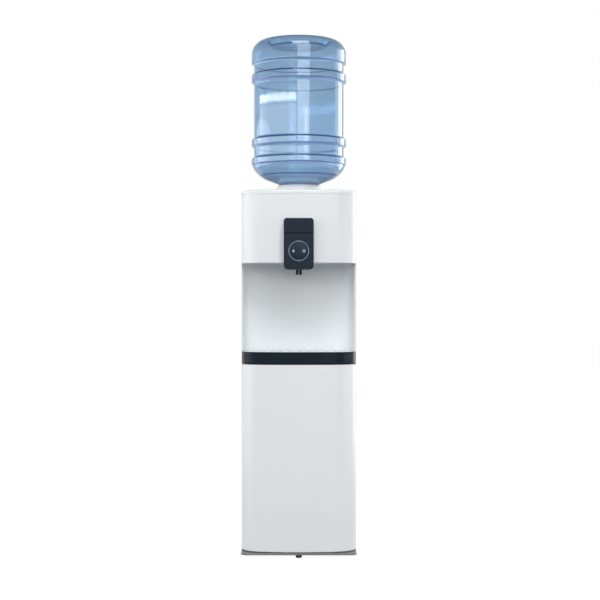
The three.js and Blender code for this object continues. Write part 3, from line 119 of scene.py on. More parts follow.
# %% The pen: straight strokes and arcs
def pen(name, start, strokes):
    """Draws a line of edges. A stroke is a point to reach, or (centre, angle, steps[, axis]) for an arc.

    The operator spins clockwise, so the angle is turned round: here a positive one is anticlockwise.
    """
    nothing_selected()
    bpy.ops.mesh.primitive_plane_add(size=MM)
    piece = bpy.context.object
    piece.name = name
    bpy.ops.object.mode_set(mode="EDIT")
    bpy.context.tool_settings.mesh_select_mode = MODES["verts"]
    bpy.ops.mesh.select_all(action="SELECT")
    bpy.ops.mesh.merge(type="CENTER")
    bpy.ops.transform.translate(value=start)
    at = Vector(start)
    for stroke in strokes:
        if isinstance(stroke[0], Vector):
            centre, angle, steps, axis = (*stroke, UP)[:4]
            bpy.ops.mesh.spin(steps=steps, angle=-angle, center=centre, axis=axis, use_auto_merge=False)
            mesh = bmesh.from_edit_mesh(piece.data)
            at = next(v.co.copy() for v in mesh.verts if v.select)
        else:
            bpy.ops.mesh.extrude_region_move(TRANSFORM_OT_translate={"value": Vector(stroke) - at})
            at = Vector(stroke)
    return piece


def merge_all():
    """Merges the open piece's corners where they coincide, such as the two ends of a closed line."""
    bpy.ops.mesh.select_all(action="SELECT")
    bpy.ops.mesh.remove_doubles(threshold=MERGE)


def outward(piece):
    """Merges what coincides and turns every face outwards."""
    edit(piece)
    merge_all()
    bpy.ops.mesh.normals_make_consistent(inside=False)
    return done(piece)


def pull(piece, height, direction=UP):
    """Fills a closed line and pulls it up into a solid."""
    merge_all()
    bpy.ops.mesh.edge_face_add()
    bpy.ops.mesh.extrude_region_move(TRANSFORM_OT_translate={"value": direction * height})
    return outward(piece)


def fillet(piece, radius, test=lambda at: True, segments=4):
    """Rounds the corners of a pen line that pass the test."""
    choose(piece, "verts", lambda at, v: len(v.link_edges) == 2 and test(at))
    bpy.ops.mesh.bevel(affect="VERTICES", offset=radius, segments=segments, clamp_overlap=True)


def revolve(piece, centre=(0, 0), steps=96):
    """Turns a pen line round an upright axis."""
    edit(piece)
    bpy.ops.mesh.select_all(action="SELECT")
    bpy.ops.mesh.spin(steps=steps, angle=2 * math.pi, center=(*centre, 0), axis=UP)
    return outward(piece)


def profile_line(name, profile, centre=(0, 0)):
    points = [Vector((centre[0] + radius, centre[1], z)) for radius, z in profile]
    return pen(name, points[0], points[1:])


def turn(name, profile, centre=(0, 0), steps=96, rounding=0, segments=3):
    """Turns a profile of (radius, height) corners round an upright axis, with its corners rounded first."""
    piece = profile_line(name, profile, centre)
    if profile[0] == profile[-1]:
        merge_all()
    if rounding:
        fillet(piece, rounding, lambda at: at.x - centre[0] > MM / 100, segments)
    return revolve(piece, centre, steps)


def girth(piece, radius, resolution=4):
    """Gives a pen line a round section of the given radius, with closed ends."""
    take(piece)
    bpy.ops.object.convert(target="CURVE")
    line = bpy.context.object
    line.data.bevel_depth = radius
    line.data.bevel_resolution = resolution
    line.data.use_fill_caps = True
    bpy.ops.object.convert(target="MESH")
    return outward(bpy.context.object)


def tube(name, corners, radius, bend, resolution=4):
    """A round tube along straight runs. Each corner becomes an arc before the line gets its girth."""
    piece = pen(name, corners[0], corners[1:])
    fillet(piece, bend, segments=8)
    return girth(piece, radius, resolution)


print("pen, pull, turn and tube ready")

# %% [markdown]
# Real edges are never razor sharp. A small bevel on each corner catches a line of light, and that line is
# what makes a moulded part look moulded. Modifiers do this evenly, and once applied they are plain mesh.
# A cut is made the same way, with a second solid that is subtracted and then thrown away.

# %% Modifiers, cuts and copies
def apply_modifier(piece, kind, **settings):
    take(piece)
    modifier = piece.modifiers.new(kind.title(), kind)
    for key, value in settings.items():
        setattr(modifier, key, value)
    bpy.ops.object.modifier_apply(modifier=modifier.name)
    return piece


def smooth(piece, angle=32):
    take(piece)
    bpy.ops.object.shade_smooth_by_angle(angle=math.radians(angle))
    return piece


def soften(piece, width, segments=3, angle=30):
    """Bevels every edge sharper than the angle and shades the rest smooth."""
    apply_modifier(piece, "BEVEL", width=width, segments=segments, limit_method="ANGLE",
                   angle_limit=math.radians(angle), use_clamp_overlap=True, harden_normals=False)
    return smooth(piece)


def combine(piece, operation, tools):
    for tool in tools:
        apply_modifier(piece, "BOOLEAN", operation=operation, object=tool, solver="EXACT")
        bpy.data.objects.remove(tool)
    return piece


def cut(piece, *tools):
    return combine(piece, "DIFFERENCE", tools)


def weld(piece, *others):
    return combine(piece, "UNION", others)


def gather(piece, *others):
    """Joins separate shells into one object, as with screws on a sheet."""
    take(piece)
    for other in others:
        other.select_set(True)
    bpy.ops.object.join()
    return piece


def settle(piece):
    """Puts the object at the origin, unturned, with its place in its mesh."""
    take(piece)
    bpy.ops.object.transform_apply(location=True, rotation=True, scale=True)
    return piece


def move(piece, offset):
    piece.location = Vector(offset)
    return settle(piece)


def tilt(piece, axis, angle):
    """Turns a piece about an axis through the origin: 0 runs sideways and 1 to the back."""
    piece.rotation_euler[axis] = angle
    return settle(piece)


def block(name, low, high):
    """A block between two corners."""
    low, high = Vector(low), Vector(high)
    nothing_selected()
    bpy.ops.mesh.primitive_cube_add(size=1, location=(low + high) / 2)
    piece = bpy.context.object
    piece.name = name
    piece.scale = high - low
    return settle(piece)


def near(value, target):
    return abs(value - target) < MM / 10


def runs(edge, axis):
    """Whether an edge is parallel to axis 0, 1 or 2."""
    along = edge.verts[1].co - edge.verts[0].co
    return abs(along[axis]) > 0.999 * along.length


def round_edges(piece, radius, test, segments=6):
    """Bevels the edges that pass the test."""
    choose(piece, "edges", test)
    bpy.ops.mesh.bevel(affect="EDGES", offset=radius, segments=segments, clamp_overlap=True)
    return outward(piece)


def round_rim(piece, radius, z, segments, test=lambda at: True):
    """Bevels the edges at one height, or those of them that pass the test."""
    return round_edges(piece, radius, lambda at, e: near(at.z, z) and test(at), segments)


def plate(name, low, high, low_radius, high_radius=None, axis=1):
    """A block whose edges along one axis are rounded: below by one radius, above by the other."""
    piece = block(name, low, high)
    if axis == 2:
        return round_edges(piece, low_radius, lambda at, e: runs(e, 2))
    middle_z = (low[2] + high[2]) / 2
    round_edges(piece, low_radius, lambda at, e: runs(e, axis) and at.z < middle_z)
    return round_edges(piece, high_radius or low_radius, lambda at, e: runs(e, axis) and at.z > middle_z)


def rod(name, start, end, radius, sides=48):
    """A cylinder from one point to another, along X, Y or Z."""
    start, end = Vector(start), Vector(end)
    nothing_selected()
    bpy.ops.mesh.primitive_cylinder_add(vertices=sides, radius=radius, depth=(end - start).length,
                                        location=(start + end) / 2)
    piece = bpy.context.object
    piece.name = name
    piece.rotation_euler = UP.rotation_difference(end - start).to_euler()
    return settle(piece)


def upright(name, at, low, high, radius, sides=48):
    """A rod along Z through a place, from one height to another."""
    return rod(name, (at[0], at[1], low), (at[0], at[1], high), radius, sides)


def copy_of(piece, name, offset):
    nothing_selected()
    twin = piece.copy()
    twin.data = piece.data.copy()
    twin.name = name
    bpy.context.scene.collection.objects.link(twin)
    return move(twin, offset)


print("modifier tools ready")

# %% [markdown]
# A piece of the picture stands for a node of the frame. It has to ride on the same body, so that it moves
# with its joint, and it takes the node's material slot. The bodies and slots are looked up in the frame, so
# that no name is typed twice. Last of all, its large faces rule the shading, so that a flat face beside a
# small rounding looks flat.

# %% Dressing a node
BODY_OF = {node: body for body, nodes in frame["record"]["behaviour"]["bodies"].items() for node in nodes}
SLOT_OF = {row["node"]: row["material_slot"] for row in frame["record"]["subparts"]}
FINISH_OF = {}


def paint(piece, finish):
    piece.data.materials.clear()
    piece.data.materials.append(finish.material)


def add_to(node, piece, finish=None):
    """Finishes a piece that belongs with a node, in the finish of the node's slot or in its own."""
    apply_modifier(settle(piece), "WEIGHTED_NORMAL", keep_sharp=True)
    paint(piece, finish or FINISH_OF[SLOT_OF[node]])
    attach(piece, BODY_OF[node])


def dress(piece, node, finish=None, angle=32):
    """Finishes a piece that stands for a node."""
    smooth(piece, angle)
    piece.name = node + "_surface"
    add_to(node, piece, finish)
    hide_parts(node)


# %% [markdown]
# The camera comes before the pieces, so that every later choice is judged through it.
# The photograph was taken with a long lens from the height of the tap, straight at the front: level lines
# stay level, and the ribs of the bottle curve upwards because they stand above the eye.

# %% Camera
EYE_HEIGHT = 0.710
EYE_TO_BOTTLE_AXIS = 4.13
EYE_SIDE_STEP = 0.0034
LENS, FILM_WIDTH = 86.7, 36
bottle_low, bottle_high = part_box("bottle")
axis_y = (bottle_low.y + bottle_high.y) / 2

nothing_selected()
bpy.ops.object.camera_add(location=(EYE_SIDE_STEP, axis_y - EYE_TO_BOTTLE_AXIS, EYE_HEIGHT),
                          rotation=(QUARTER, 0, 0))
camera = bpy.context.object
camera.name = "eye"
camera.data.lens = LENS
camera.data.sensor_width = FILM_WIDTH
bpy.context.scene.camera = camera
bpy.context.scene.view_settings.view_transform = "Standard"
print("camera at", [round(value, 3) for value in camera.location])

# %% [markdown]
# A material is a small graph. Two building blocks come back all the time: one sum on one or two fields, and
# a range that is stretched to another. Each takes numbers or the outputs of other nodes.

# %% Building blocks for every graph
def feed(tree, socket, value):
    """Gives a socket a number, a colour or the output of another node."""
    if isinstance(value, bpy.types.NodeSocket):
        tree.links.new(value, socket)
    elif value is not None:
        socket.default_value = value


def compute(tree, operation, first, second=None):
    node = tree.nodes.new("ShaderNodeMath")
    node.operation = operation
    feed(tree, node.inputs[0], first)
    feed(tree, node.inputs[1], second)
    return node.outputs[0]


def stretch_range(tree, value, to_low, to_high, low=0.0, high=1.0):
    node = tree.nodes.new("ShaderNodeMapRange")
    for socket, source in zip(node.inputs, (value, low, high, to_low, to_high)):
        feed(tree, socket, source)
    return node.outputs[0]


def seen_by(tree, *kinds):
    """One where the ray is of any of these kinds, such as Camera or Glossy, and zero elsewhere."""
    path = tree.nodes.new("ShaderNodeLightPath").outputs
    flag = path[f"Is {kinds[0]} Ray"]
    for kind in kinds[1:]:
        flag = compute(tree, "MAXIMUM", flag, path[f"Is {kind} Ray"])
    return flag


print("graph tools ready")

# %% [markdown]
# Studio light. A tall soft panel stands to the right behind the camera, and a second one hangs high in
# front: together they give the alcove its fall from shade to light. Both stand far away, so that the head and
# the foot are lit alike. A ring of strips on the left draws the bright window on the bottle, with a ring of
# softer panels under it for the pale field below, and panels behind pale the edges.
# The surroundings look white to the camera and near the horizon in every reflection, and dimmer overhead, so
# that clear walls show dark lines where they bend the view upwards.

# %% World and lamps
SHOWN_WHITE, ZENITH, AMBIENT = 1.0, 0.5, 0.25
CLIMB_START, CLIMB_END = 0.20, 0.62
AIM_HEIGHT = 0.75
PANELS = (  # name, azimuth in degrees, distance, height, width and height of the panel, watts
    ("key_panel", 12, 17.0, 7.65, (10.0, 10.8), 1020),
    ("high_panel", 6, 14.0, 20.0, (14.0, 9.6), 2650),
    ("right_strip", 17.5, 5.5, 1.0, (0.8, 1.9), 11),
    ("right_low", 80, 3.5, 0.55, (2.6, 1.1), 26),
    ("left_low", -80, 3.5, 0.5, (2.6, 1.0), 16),
    ("right_rim", 124, 3.0, 0.8, (2.1, 3.0), 28),
    ("right_core", 131, 2.9, 0.8, (1.2, 3.0), 22),
    ("left_rim", -108, 3.0, 0.5, (3.4, 2.2), 32),
)
RING_AZIMUTHS = (-17, -39, -61, -83, -105)
RING = (("window_strip", 2.5, 1.612, (0.96, 0.036), 0.9), ("field_panel", 2.5, 1.33, (0.96, 0.5), 3.0))

world = bpy.data.worlds.new("studio")
world.use_nodes = True
bpy.context.scene.world = world
tree = world.node_tree
axes = tree.nodes.new("ShaderNodeSeparateXYZ")
tree.links.new(tree.nodes.new("ShaderNodeTexCoord").outputs["Generated"], axes.inputs[0])
climb = stretch_range(tree, axes.outputs["Z"], 0.0, 1.0, CLIMB_START, CLIMB_END)
mirrored = stretch_range(tree, climb, SHOWN_WHITE, ZENITH)
lit = stretch_range(tree, seen_by(tree, "Glossy", "Transmission"), AMBIENT, mirrored)
background = tree.nodes["Background"].inputs
background["Color"].default_value = (1, 1, 1, 1)
feed(tree, background["Strength"], stretch_range(tree, seen_by(tree, "Camera"), lit, SHOWN_WHITE))


def panel_light(name, azimuth, distance, height, size, power, level=False):
    """A soft panel round the cabinet: azimuth 0 is the front and 90 the right. A level one faces sideways."""
    turned = math.radians(azimuth)
    place = Vector((distance * math.sin(turned), axis_y - distance * math.cos(turned), height))
    target = Vector((0, axis_y, height if level else AIM_HEIGHT))
    nothing_selected()
    bpy.ops.object.light_add(type="AREA", location=place)
    lamp = bpy.context.object
    lamp.name = name
    lamp.data.shape = "RECTANGLE"
    lamp.data.size, lamp.data.size_y = size
    lamp.data.energy = power
    lamp.rotation_euler = (target - place).to_track_quat("-Z", "Y").to_euler()


for panel in PANELS:
    panel_light(*panel)
for azimuth in RING_AZIMUTHS:
    for name, *settings in RING:
        panel_light(name, azimuth, *settings, level=True)

# %% [markdown]
# The floor is pale and matt. To the eye, and in gloss and through glass, it is lifted to the white of the
# background, while it still takes the object's shadow.

# %% Floor
FLOOR_SIZE, FLOOR_GREY, FLOOR_LIFT = 40, 0.13, 0.95
nothing_selected()
bpy.ops.mesh.primitive_plane_add(size=FLOOR_SIZE)
floor = bpy.context.object
floor.name = "floor"
floor_material = bpy.data.materials.new("pale floor")
floor_material.use_nodes = True
tree = floor_material.node_tree
tree.nodes.remove(tree.nodes["Principled BSDF"])
matt = tree.nodes.new("ShaderNodeBsdfDiffuse")
matt.inputs["Color"].default_value = (FLOOR_GREY, FLOOR_GREY, FLOOR_GREY, 1)
glow = tree.nodes.new("ShaderNodeEmission")
shown = seen_by(tree, "Camera", "Glossy", "Transmission")
feed(tree, glow.inputs["Strength"], stretch_range(tree, shown, 0.0, FLOOR_LIFT))
total = tree.nodes.new("ShaderNodeAddShader")
for socket, part in zip(total.inputs, (matt, glow)):
    tree.links.new(part.outputs[0], socket)
tree.links.new(total.outputs[0], tree.nodes["Material Output"].inputs["Surface"])
floor.data.materials.append(floor_material)
print("floor:", FLOOR_SIZE, "m wide")

# %% [markdown]
# A finish is never one flat colour. Moulded plastic drifts a little in shade and gloss, and its skin has a
# fine ripple; pressed steel has grain; rubber is dusty. Each material below is a few noise fields in the
# object's own space: one moves the colour, one the roughness, and one or two stand up as bump.

# %% A finish and its noise fields
class Finish:
    """A Principled surface with noise fields for colour, roughness and relief."""

    def __init__(self, name, color, roughness, **settings):
        self.material = bpy.data.materials.new(name)
        self.material.use_nodes = True
        self.tree = self.material.node_tree
        self.shader = self.tree.nodes["Principled BSDF"].inputs
        self.color = (*color, 1)
        self.roughness = roughness
        self.shader["Base Color"].default_value = self.color
        self.shader["Roughness"].default_value = roughness
        for socket, value in settings.items():
            self.shader[socket.replace("_", " ")].default_value = value
        self.place = self.tree.nodes.new("ShaderNodeTexCoord").outputs["Object"]
        self.relief = None

    def field(self, size, kind="noise", stretch=(1, 1, 1)):
        """A noise or cell pattern whose features are about one size, in millimetres."""
        mapping = self.tree.nodes.new("ShaderNodeMapping")
        mapping.inputs["Scale"].default_value = stretch
        self.tree.links.new(self.place, mapping.inputs["Vector"])
        texture = self.tree.nodes.new("ShaderNodeTexVoronoi" if kind == "cells" else "ShaderNodeTexNoise")
        if kind == "noise":
            texture.inputs["Detail"].default_value = 3
        texture.inputs["Scale"].default_value = 1 / (size * MM)
        self.tree.links.new(mapping.outputs[0], texture.inputs["Vector"])
        return texture.outputs["Color" if kind == "cells" else "Fac"]

    def blend(self, share, tint):
        """The colour goes towards a tint by a share that varies over the surface."""
        mix = self.tree.nodes.new("ShaderNodeMix")
        mix.data_type = "RGBA"
        target = self.shader["Base Color"]
        before = target.links[0].from_socket if target.is_linked else self.color
        for socket, value in zip((mix.inputs[0], mix.inputs[6], mix.inputs[7]), (share, before, (*tint, 1))):
            feed(self.tree, socket, value)
        self.tree.links.new(mix.outputs[2], target)
        return self

    def drift(self, amount, size, tint=None, stretch=(1, 1, 1), kind="noise", start=0.3, end=0.7):
        """The colour wanders between two close shades, or towards a tint."""
        darker = tint or tuple(channel * (1 - amount) for channel in self.color[:3])
        field = self.field(size, kind, stretch)
        return self.blend(stretch_range(self.tree, field, 0, amount if tint else 1, start, end), darker)

    def sheen_drift(self, amount, size, stretch=(1, 1, 1)):
        """The gloss wanders, as if hands and cloths had been there."""
        low, high = max(self.roughness - amount, 0.02), self.roughness + amount
        wander = stretch_range(self.tree, self.field(size, stretch=stretch), low, high, 0.3, 0.7)
        feed(self.tree, self.shader["Roughness"], wander)
        return self

    def ripple(self, depth, size, strength, kind="noise", stretch=(1, 1, 1)):
        """Relief of a depth and feature size in millimetres, on top of any earlier relief."""
        bump = self.tree.nodes.new("ShaderNodeBump")
        field = self.field(size, kind, stretch)
        for socket, value in (("Distance", depth * MM), ("Strength", strength), ("Height", field),
                              ("Normal", self.relief)):
            feed(self.tree, bump.inputs[socket], value)
        self.relief = bump.outputs[0]
        self.tree.links.new(self.relief, self.shader["Normal"])
        return self

    def worn_edges(self, tint, amount, low=0.52, high=0.6):
        """Corners that stick out are rubbed towards the tint."""
        pointed = self.tree.nodes.new("ShaderNodeNewGeometry").outputs["Pointiness"]
        return self.blend(stretch_range(self.tree, pointed, 0, amount, low, high), tint)


print("finish tools ready")

# %% [markdown]
# White housings: the front is satin moulded plastic, with the faint unevenness of a large moulding, and the
# sides are powder-coated sheet, whose skin is a fine orange peel. Their whites differ by a hair, as they do
# on the real cabinet, where two factories make them. Each finish is kept under the name of its slot.

# %% White, grey and black housing finishes
FINISH_OF.update(
    white_plastic=Finish("satin white moulding", (0.775, 0.81, 0.832), 0.34)
    .drift(0.035, 350).sheen_drift(0.06, 120).ripple(0.25, 90, 0.25).ripple(0.02, 0.9, 0.35),
    white_steel=Finish("white powder coat", (0.77, 0.79, 0.80), 0.42)
    .drift(0.03, 280).sheen_drift(0.05, 80).ripple(0.05, 1.8, 0.5).ripple(0.4, 160, 0.2),
    grey_plastic=Finish("grey base moulding", (0.105, 0.116, 0.126), 0.28, Specular_IOR_Level=0.7)
    .drift(0.12, 60).sheen_drift(0.08, 30).ripple(0.06, 0.8, 0.6).worn_edges((0.5, 0.52, 0.53), 0.35),
    black_gloss=Finish("black gloss tray", (0.011, 0.019, 0.027), 0.16, Specular_IOR_Level=0.05)
    .drift(0.5, 80, tint=(0.014, 0.02, 0.028)).sheen_drift(0.05, 50).ripple(0.1, 60, 0.2)
    .ripple(0.01, 1.2, 0.25))
print("housing finishes:", ", ".join(FINISH_OF))

# %% [markdown]
# The tap's shell is graphite plastic with a slight blue in it. Its grain is finer than the housing's, because
# it is a small tool from a polished mould. The ring round the disc is anodised aluminium, and it wanders
# between silver and blue. The seat's white is lifted nearly to pure white: painted light, standing in for the
# light that the bottle's shadow takes from it.

# %% Tap and seat finishes
FINISH_OF.update(
    tap_plastic=Finish("graphite tap shell", (0.0095, 0.0165, 0.029), 0.4, Specular_IOR_Level=0.14)
    .drift(0.2, 30).sheen_drift(0.07, 20).ripple(0.02, 0.5, 0.5),
    tap_dark=Finish("dark spout", (0.010, 0.014, 0.020), 0.3, Specular_IOR_Level=0.2)
    .drift(0.3, 10).sheen_drift(0.08, 10).ripple(0.02, 0.5, 0.4),
    ring_metal=Finish("anodised ring", (0.15, 0.21, 0.27), 0.34, Metallic=0.9)
    .drift(0.7, 60, tint=(0.12, 0.22, 0.42), start=0.35, end=0.6).sheen_drift(0.08, 6).ripple(0.01, 0.3, 0.5))
disc_plastic = Finish("disc face", (0.012, 0.026, 0.046), 0.3, Specular_IOR_Level=0.14)
disc_plastic.drift(0.25, 12).sheen_drift(0.05, 20).ripple(0.015, 0.4, 0.4)
icon_white = Finish("pale icon print", (0.46, 0.52, 0.56), 0.45).drift(0.12, 4).ripple(0.01, 0.3, 0.4)
# Painted light: the seat's white is raised nearly to pure white against the shade the bottle casts on it.
seat_white_painted_lit = Finish("seat white with painted light", (0.985, 0.99, 1.0), 0.34)
seat_white_painted_lit.drift(0.04, 30).sheen_drift(0.06, 10).ripple(0.02, 0.9, 0.4)
print("materials so far:", len(bpy.data.materials))

# %% [markdown]
# The bottle is clear polycarbonate with a blue dye. The wall itself swallows red light, so the blue deepens
# where the eye looks along the wall: at the ribs, the shoulder and the edges. Most of that needs no painting:
# the colour sits in an absorbing volume, and blow moulding adds long soft waves to the surface. At each
# fold the outer skin has a thin navy line of painted shade, standing in for the dark line the bent wall
# shows.

# %% Clear blue bottle
BOTTLE_DYE, DYE_DENSITY = (0.075, 0.40, 0.64), 400
# Painted shade: heights in millimetres of the dark lines painted at the bottle's folds, with how dark each
# is.
PAINTED_SHADE_FOLDS = {1064.6: 0.85, 1095.4: 0.8, 1112.8: 0.85, 1148.6: 0.62, 1167.4: 0.96, 1330.6: 0.92, 1351.4: 0.88,
         1382.0: 0.35}
PAINTED_SHADE_WIDTH, PAINTED_SHADE_TINT = 2.6 * MM, (0.0, 0.04, 0.5)
OUTWARD_FADE = 0.01


def dye(finish, color, density):
    """Fills the inside of a clear finish with a colour that swallows light."""
    volume = finish.tree.nodes.new("ShaderNodeVolumeAbsorption")
    volume.inputs["Color"].default_value = (*color, 1)
    volume.inputs["Density"].default_value = density
    finish.tree.links.new(volume.outputs[0], finish.tree.nodes["Material Output"].inputs["Volume"])


def paint_fold_shade(finish, shaded_folds, width, tint):
    """Painted shade: thin dark lines round the bottle's axis, on the skin that faces away from it. Shaded
    folds gives height: depth of shade.
    """
    tree = finish.tree
    axes = tree.nodes.new("ShaderNodeSeparateXYZ")
    tree.links.new(finish.place, axes.inputs[0])
    lines = None
    for height, depth in shaded_folds.items():
        distance = compute(tree, "ABSOLUTE", compute(tree, "SUBTRACT", axes.outputs["Z"], height * MM))
        line = stretch_range(tree, distance, depth, 0.0, 0.0, width)
        lines = compute(tree, "MAXIMUM", lines, line) if lines else line
    flat = tree.nodes.new("ShaderNodeCombineXYZ")
    feed(tree, flat.inputs["X"], axes.outputs["X"])
    feed(tree, flat.inputs["Y"], compute(tree, "SUBTRACT", axes.outputs["Y"], axis_y))
    outwards = tree.nodes.new("ShaderNodeVectorMath")
    outwards.operation = "DOT_PRODUCT"
    tree.links.new(flat.outputs[0], outwards.inputs[0])
    tree.links.new(tree.nodes.new("ShaderNodeTexCoord").outputs["Normal"], outwards.inputs[1])
    outer_skin = stretch_range(tree, outwards.outputs["Value"], 0, 1, 0, OUTWARD_FADE)
    finish.blend(compute(tree, "MULTIPLY", lines, outer_skin), tint)


bottle_plastic = Finish("clear blue polycarbonate", (0.97, 0.985, 1.0), 0.03,
                        Transmission_Weight=1, IOR=1.585)
dye(bottle_plastic, BOTTLE_DYE, DYE_DENSITY)
bottle_plastic.drift(0.03, 150).sheen_drift(0.02, 50)
bottle_plastic.ripple(0.3, 90, 0.2, stretch=(1, 1, 0.35)).ripple(0.02, 2.5, 0.2)
# The folds of the outer skin get their painted shade.
paint_fold_shade(bottle_plastic, PAINTED_SHADE_FOLDS, PAINTED_SHADE_WIDTH, PAINTED_SHADE_TINT)
FINISH_OF["bottle_plastic"] = bottle_plastic
print("fold lines:", len(PAINTED_SHADE_FOLDS))

# %% [markdown]
# Behind the cabinet everything is plain metal, black enamel, rubber and foam. Zinc shows its crystals as
# pale and dark flakes, drawn copper is streaked along its length and tarnished in patches, and foam is full
# of small cells.

# %% Metals, rubber, foam and fittings
FINISH_OF.update(
    galvanised=Finish("galvanised sheet", (0.52, 0.54, 0.55), 0.42, Metallic=0.85)
    .drift(0.3, 9, kind="cells").sheen_drift(0.12, 20).ripple(0.01, 2, 0.4),
    stainless=Finish("brushed stainless", (0.60, 0.61, 0.62), 0.28, Metallic=1)
    .drift(0.12, 6, stretch=(1, 1, 0.08)).sheen_drift(0.08, 4, stretch=(1, 1, 0.06))
    .ripple(0.01, 1, 0.5, stretch=(1, 1, 0.05)),
    copper=Finish("drawn copper", (0.60, 0.27, 0.16), 0.32, Metallic=1)
    .drift(0.55, 26, tint=(0.20, 0.10, 0.07)).sheen_drift(0.14, 9).ripple(0.02, 0.8, 0.4),
    black_paint=Finish("black enamel", (0.018, 0.018, 0.02), 0.38, Specular_IOR_Level=0.45)
    .drift(0.5, 30, tint=(0.04, 0.04, 0.042)).sheen_drift(0.1, 12).ripple(0.06, 1.6, 0.5),
    black_plastic=Finish("black moulding", (0.02, 0.02, 0.022), 0.45)
    .drift(0.3, 20).sheen_drift(0.1, 8).ripple(0.04, 0.6, 0.6),
    foot_rubber=Finish("black rubber", (0.022, 0.022, 0.023), 0.75, Specular_IOR_Level=0.3)
    .drift(0.45, 14, tint=(0.07, 0.07, 0.068)).ripple(0.08, 0.9, 0.7),
    foam=Finish("white foam", (0.82, 0.81, 0.78), 0.9, Specular_IOR_Level=0.2)
    .drift(0.12, 12).ripple(0.5, 3.2, 0.8, kind="cells"),
    silicone=Finish("milky silicone", (0.92, 0.93, 0.92), 0.42, Transmission_Weight=0.35, IOR=1.41)
    .drift(0.06, 20).sheen_drift(0.08, 10).ripple(0.03, 1.5, 0.4),
    fitting_plastic=Finish("pale fitting", (0.62, 0.63, 0.62), 0.42)
    .drift(0.1, 12).sheen_drift(0.08, 5).ripple(0.03, 0.7, 0.5),
    cap_plastic=Finish("blue cap", (0.07, 0.20, 0.52), 0.4).drift(0.15, 12).ripple(0.03, 0.7, 0.5),
    board=Finish("green circuit board", (0.02, 0.14, 0.07), 0.35)
    .drift(0.5, 2.2, tint=(0.05, 0.22, 0.11), kind="cells").ripple(0.03, 1.5, 0.5))
for shade, color in (("red", (0.42, 0.02, 0.015)), ("green", (0.02, 0.26, 0.07))):
    rocker = Finish(shade + " rocker", color, 0.28).drift(0.2, 6).sheen_drift(0.06, 4).ripple(0.02, 0.5, 0.4)
    FINISH_OF[shade + "_plastic"] = rocker
FINISH_OF["valve_plastic"] = FINISH_OF["fitting_plastic"]
print("finishes:", len(FINISH_OF))

# %% [markdown]
# Every node starts with the finish of its slot. The ones deep inside the cabinet keep their own mesh, since
# nobody sees more than a glimpse of them, and the rest are replaced further down.

# %% Finish every node by its slot
for node, body_object in frame["nodes"].items():
    paint(body_object, FINISH_OF[SLOT_OF[node]])
print("slots in use:", len(set(SLOT_OF.values())))

# %% [markdown]
# In plan the front is a shallow bow between two round corners: three arcs that meet smoothly.
# The same three strokes, moved inwards, draw the inner face of a wall, the tray and the lid.

# %% The bowed front in plan
CORNER, BOW, WALL = 68 * MM, 600 * MM, 3 * MM
CORNER_STEPS, BOW_STEPS = 14, 22
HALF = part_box("base_plate")[1].x
FRONT_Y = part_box("lower_front_panel")[0].y
REAR_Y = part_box("left_side_panel")[1].y
BOW_CENTRE = Vector((0, FRONT_Y + BOW, 0))
BOW_ANGLE = math.asin((HALF - CORNER) / (BOW - CORNER))
CORNER_Y = BOW_CENTRE.y - (BOW - CORNER) * math.cos(BOW_ANGLE)
LEFT_CENTRE, RIGHT_CENTRE = Vector((CORNER - HALF, CORNER_Y, 0)), Vector((HALF - CORNER, CORNER_Y, 0))
SKIN = 0.4 * MM


def front_strokes(backwards=False):
    """The strokes from the left end of the front to its right end, or back again."""
    turn_in = QUARTER - BOW_ANGLE
    strokes = [(LEFT_CENTRE, turn_in, CORNER_STEPS), (BOW_CENTRE, 2 * BOW_ANGLE, BOW_STEPS),
               (RIGHT_CENTRE, turn_in, CORNER_STEPS)]
    if backwards:
        strokes = [(centre, -angle, steps) for centre, angle, steps in reversed(strokes)]
    return strokes


def front_wall(name, outer, inner, low, high):
    """A bowed wall between two insets from the outer face."""
    start = (outer - HALF, CORNER_Y, low)
    strokes = front_strokes() + [(HALF - inner, CORNER_Y, low)] + front_strokes(backwards=True)
    return pull(pen(name, start, strokes + [start]), high - low)


def on_outer_face(at):
    """Whether a point lies on the outermost front surface."""
    if abs(at.x) <= HALF - CORNER:
        return abs((at - BOW_CENTRE).xy.length - BOW) < SKIN
    centre = RIGHT_CENTRE if at.x > 0 else LEFT_CENTRE
    return abs((at - centre).xy.length - CORNER) < SKIN


print("bow angle in degrees:", round(math.degrees(BOW_ANGLE), 2))

# %% [markdown]
# The two front panels are one moulding profile: a wall with a flange turned in at the rim. The lower panel's
# long edges get a rounding of a millimetre and a bit, and that makes the thin bright line above and below it.
# The head's foot is rounder, because it is the lip over the alcove, and its top is nearly sharp, so that it
# meets the lid in a fine line.

# %% Front panels
FLANGE, FLANGE_THICKNESS = 12 * MM, 2.4 * MM
FRONT_EDGE, HEAD_LIP, HEAD_TOP_EDGE = 1.3 * MM, 2.4 * MM, 0.4 * MM
NOTCH_HALF, NOTCH_TOP = 38 * MM, 925 * MM


def front_panel(node):
    low, high = (corner.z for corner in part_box(node))
    piece = front_wall(node, 0, WALL, low, high)
    weld(piece, front_wall("flange", WALL - MM, FLANGE, high - FLANGE_THICKNESS, high))
    return piece, low, high


panel, low, high = front_panel("lower_front_panel")
weld(panel, front_wall("foot flange", WALL - MM, FLANGE, low, low + FLANGE_THICKNESS))
outward(panel)
round_edges(panel, FRONT_EDGE, lambda at, e: on_outer_face(at) and (near(at.z, low) or near(at.z, high)), 3)
dress(panel, "lower_front_panel")

head, low, high = front_panel("head_front_panel")
outward(head)
round_rim(head, HEAD_LIP, low, 5, on_outer_face)
round_rim(head, HEAD_TOP_EDGE, high, 2, on_outer_face)
cut(head, block("notch", (-NOTCH_HALF, FRONT_Y - WALL, low - WALL), (NOTCH_HALF, CORNER_Y, NOTCH_TOP)))
dress(head, "head_front_panel")
print("front panels dressed")

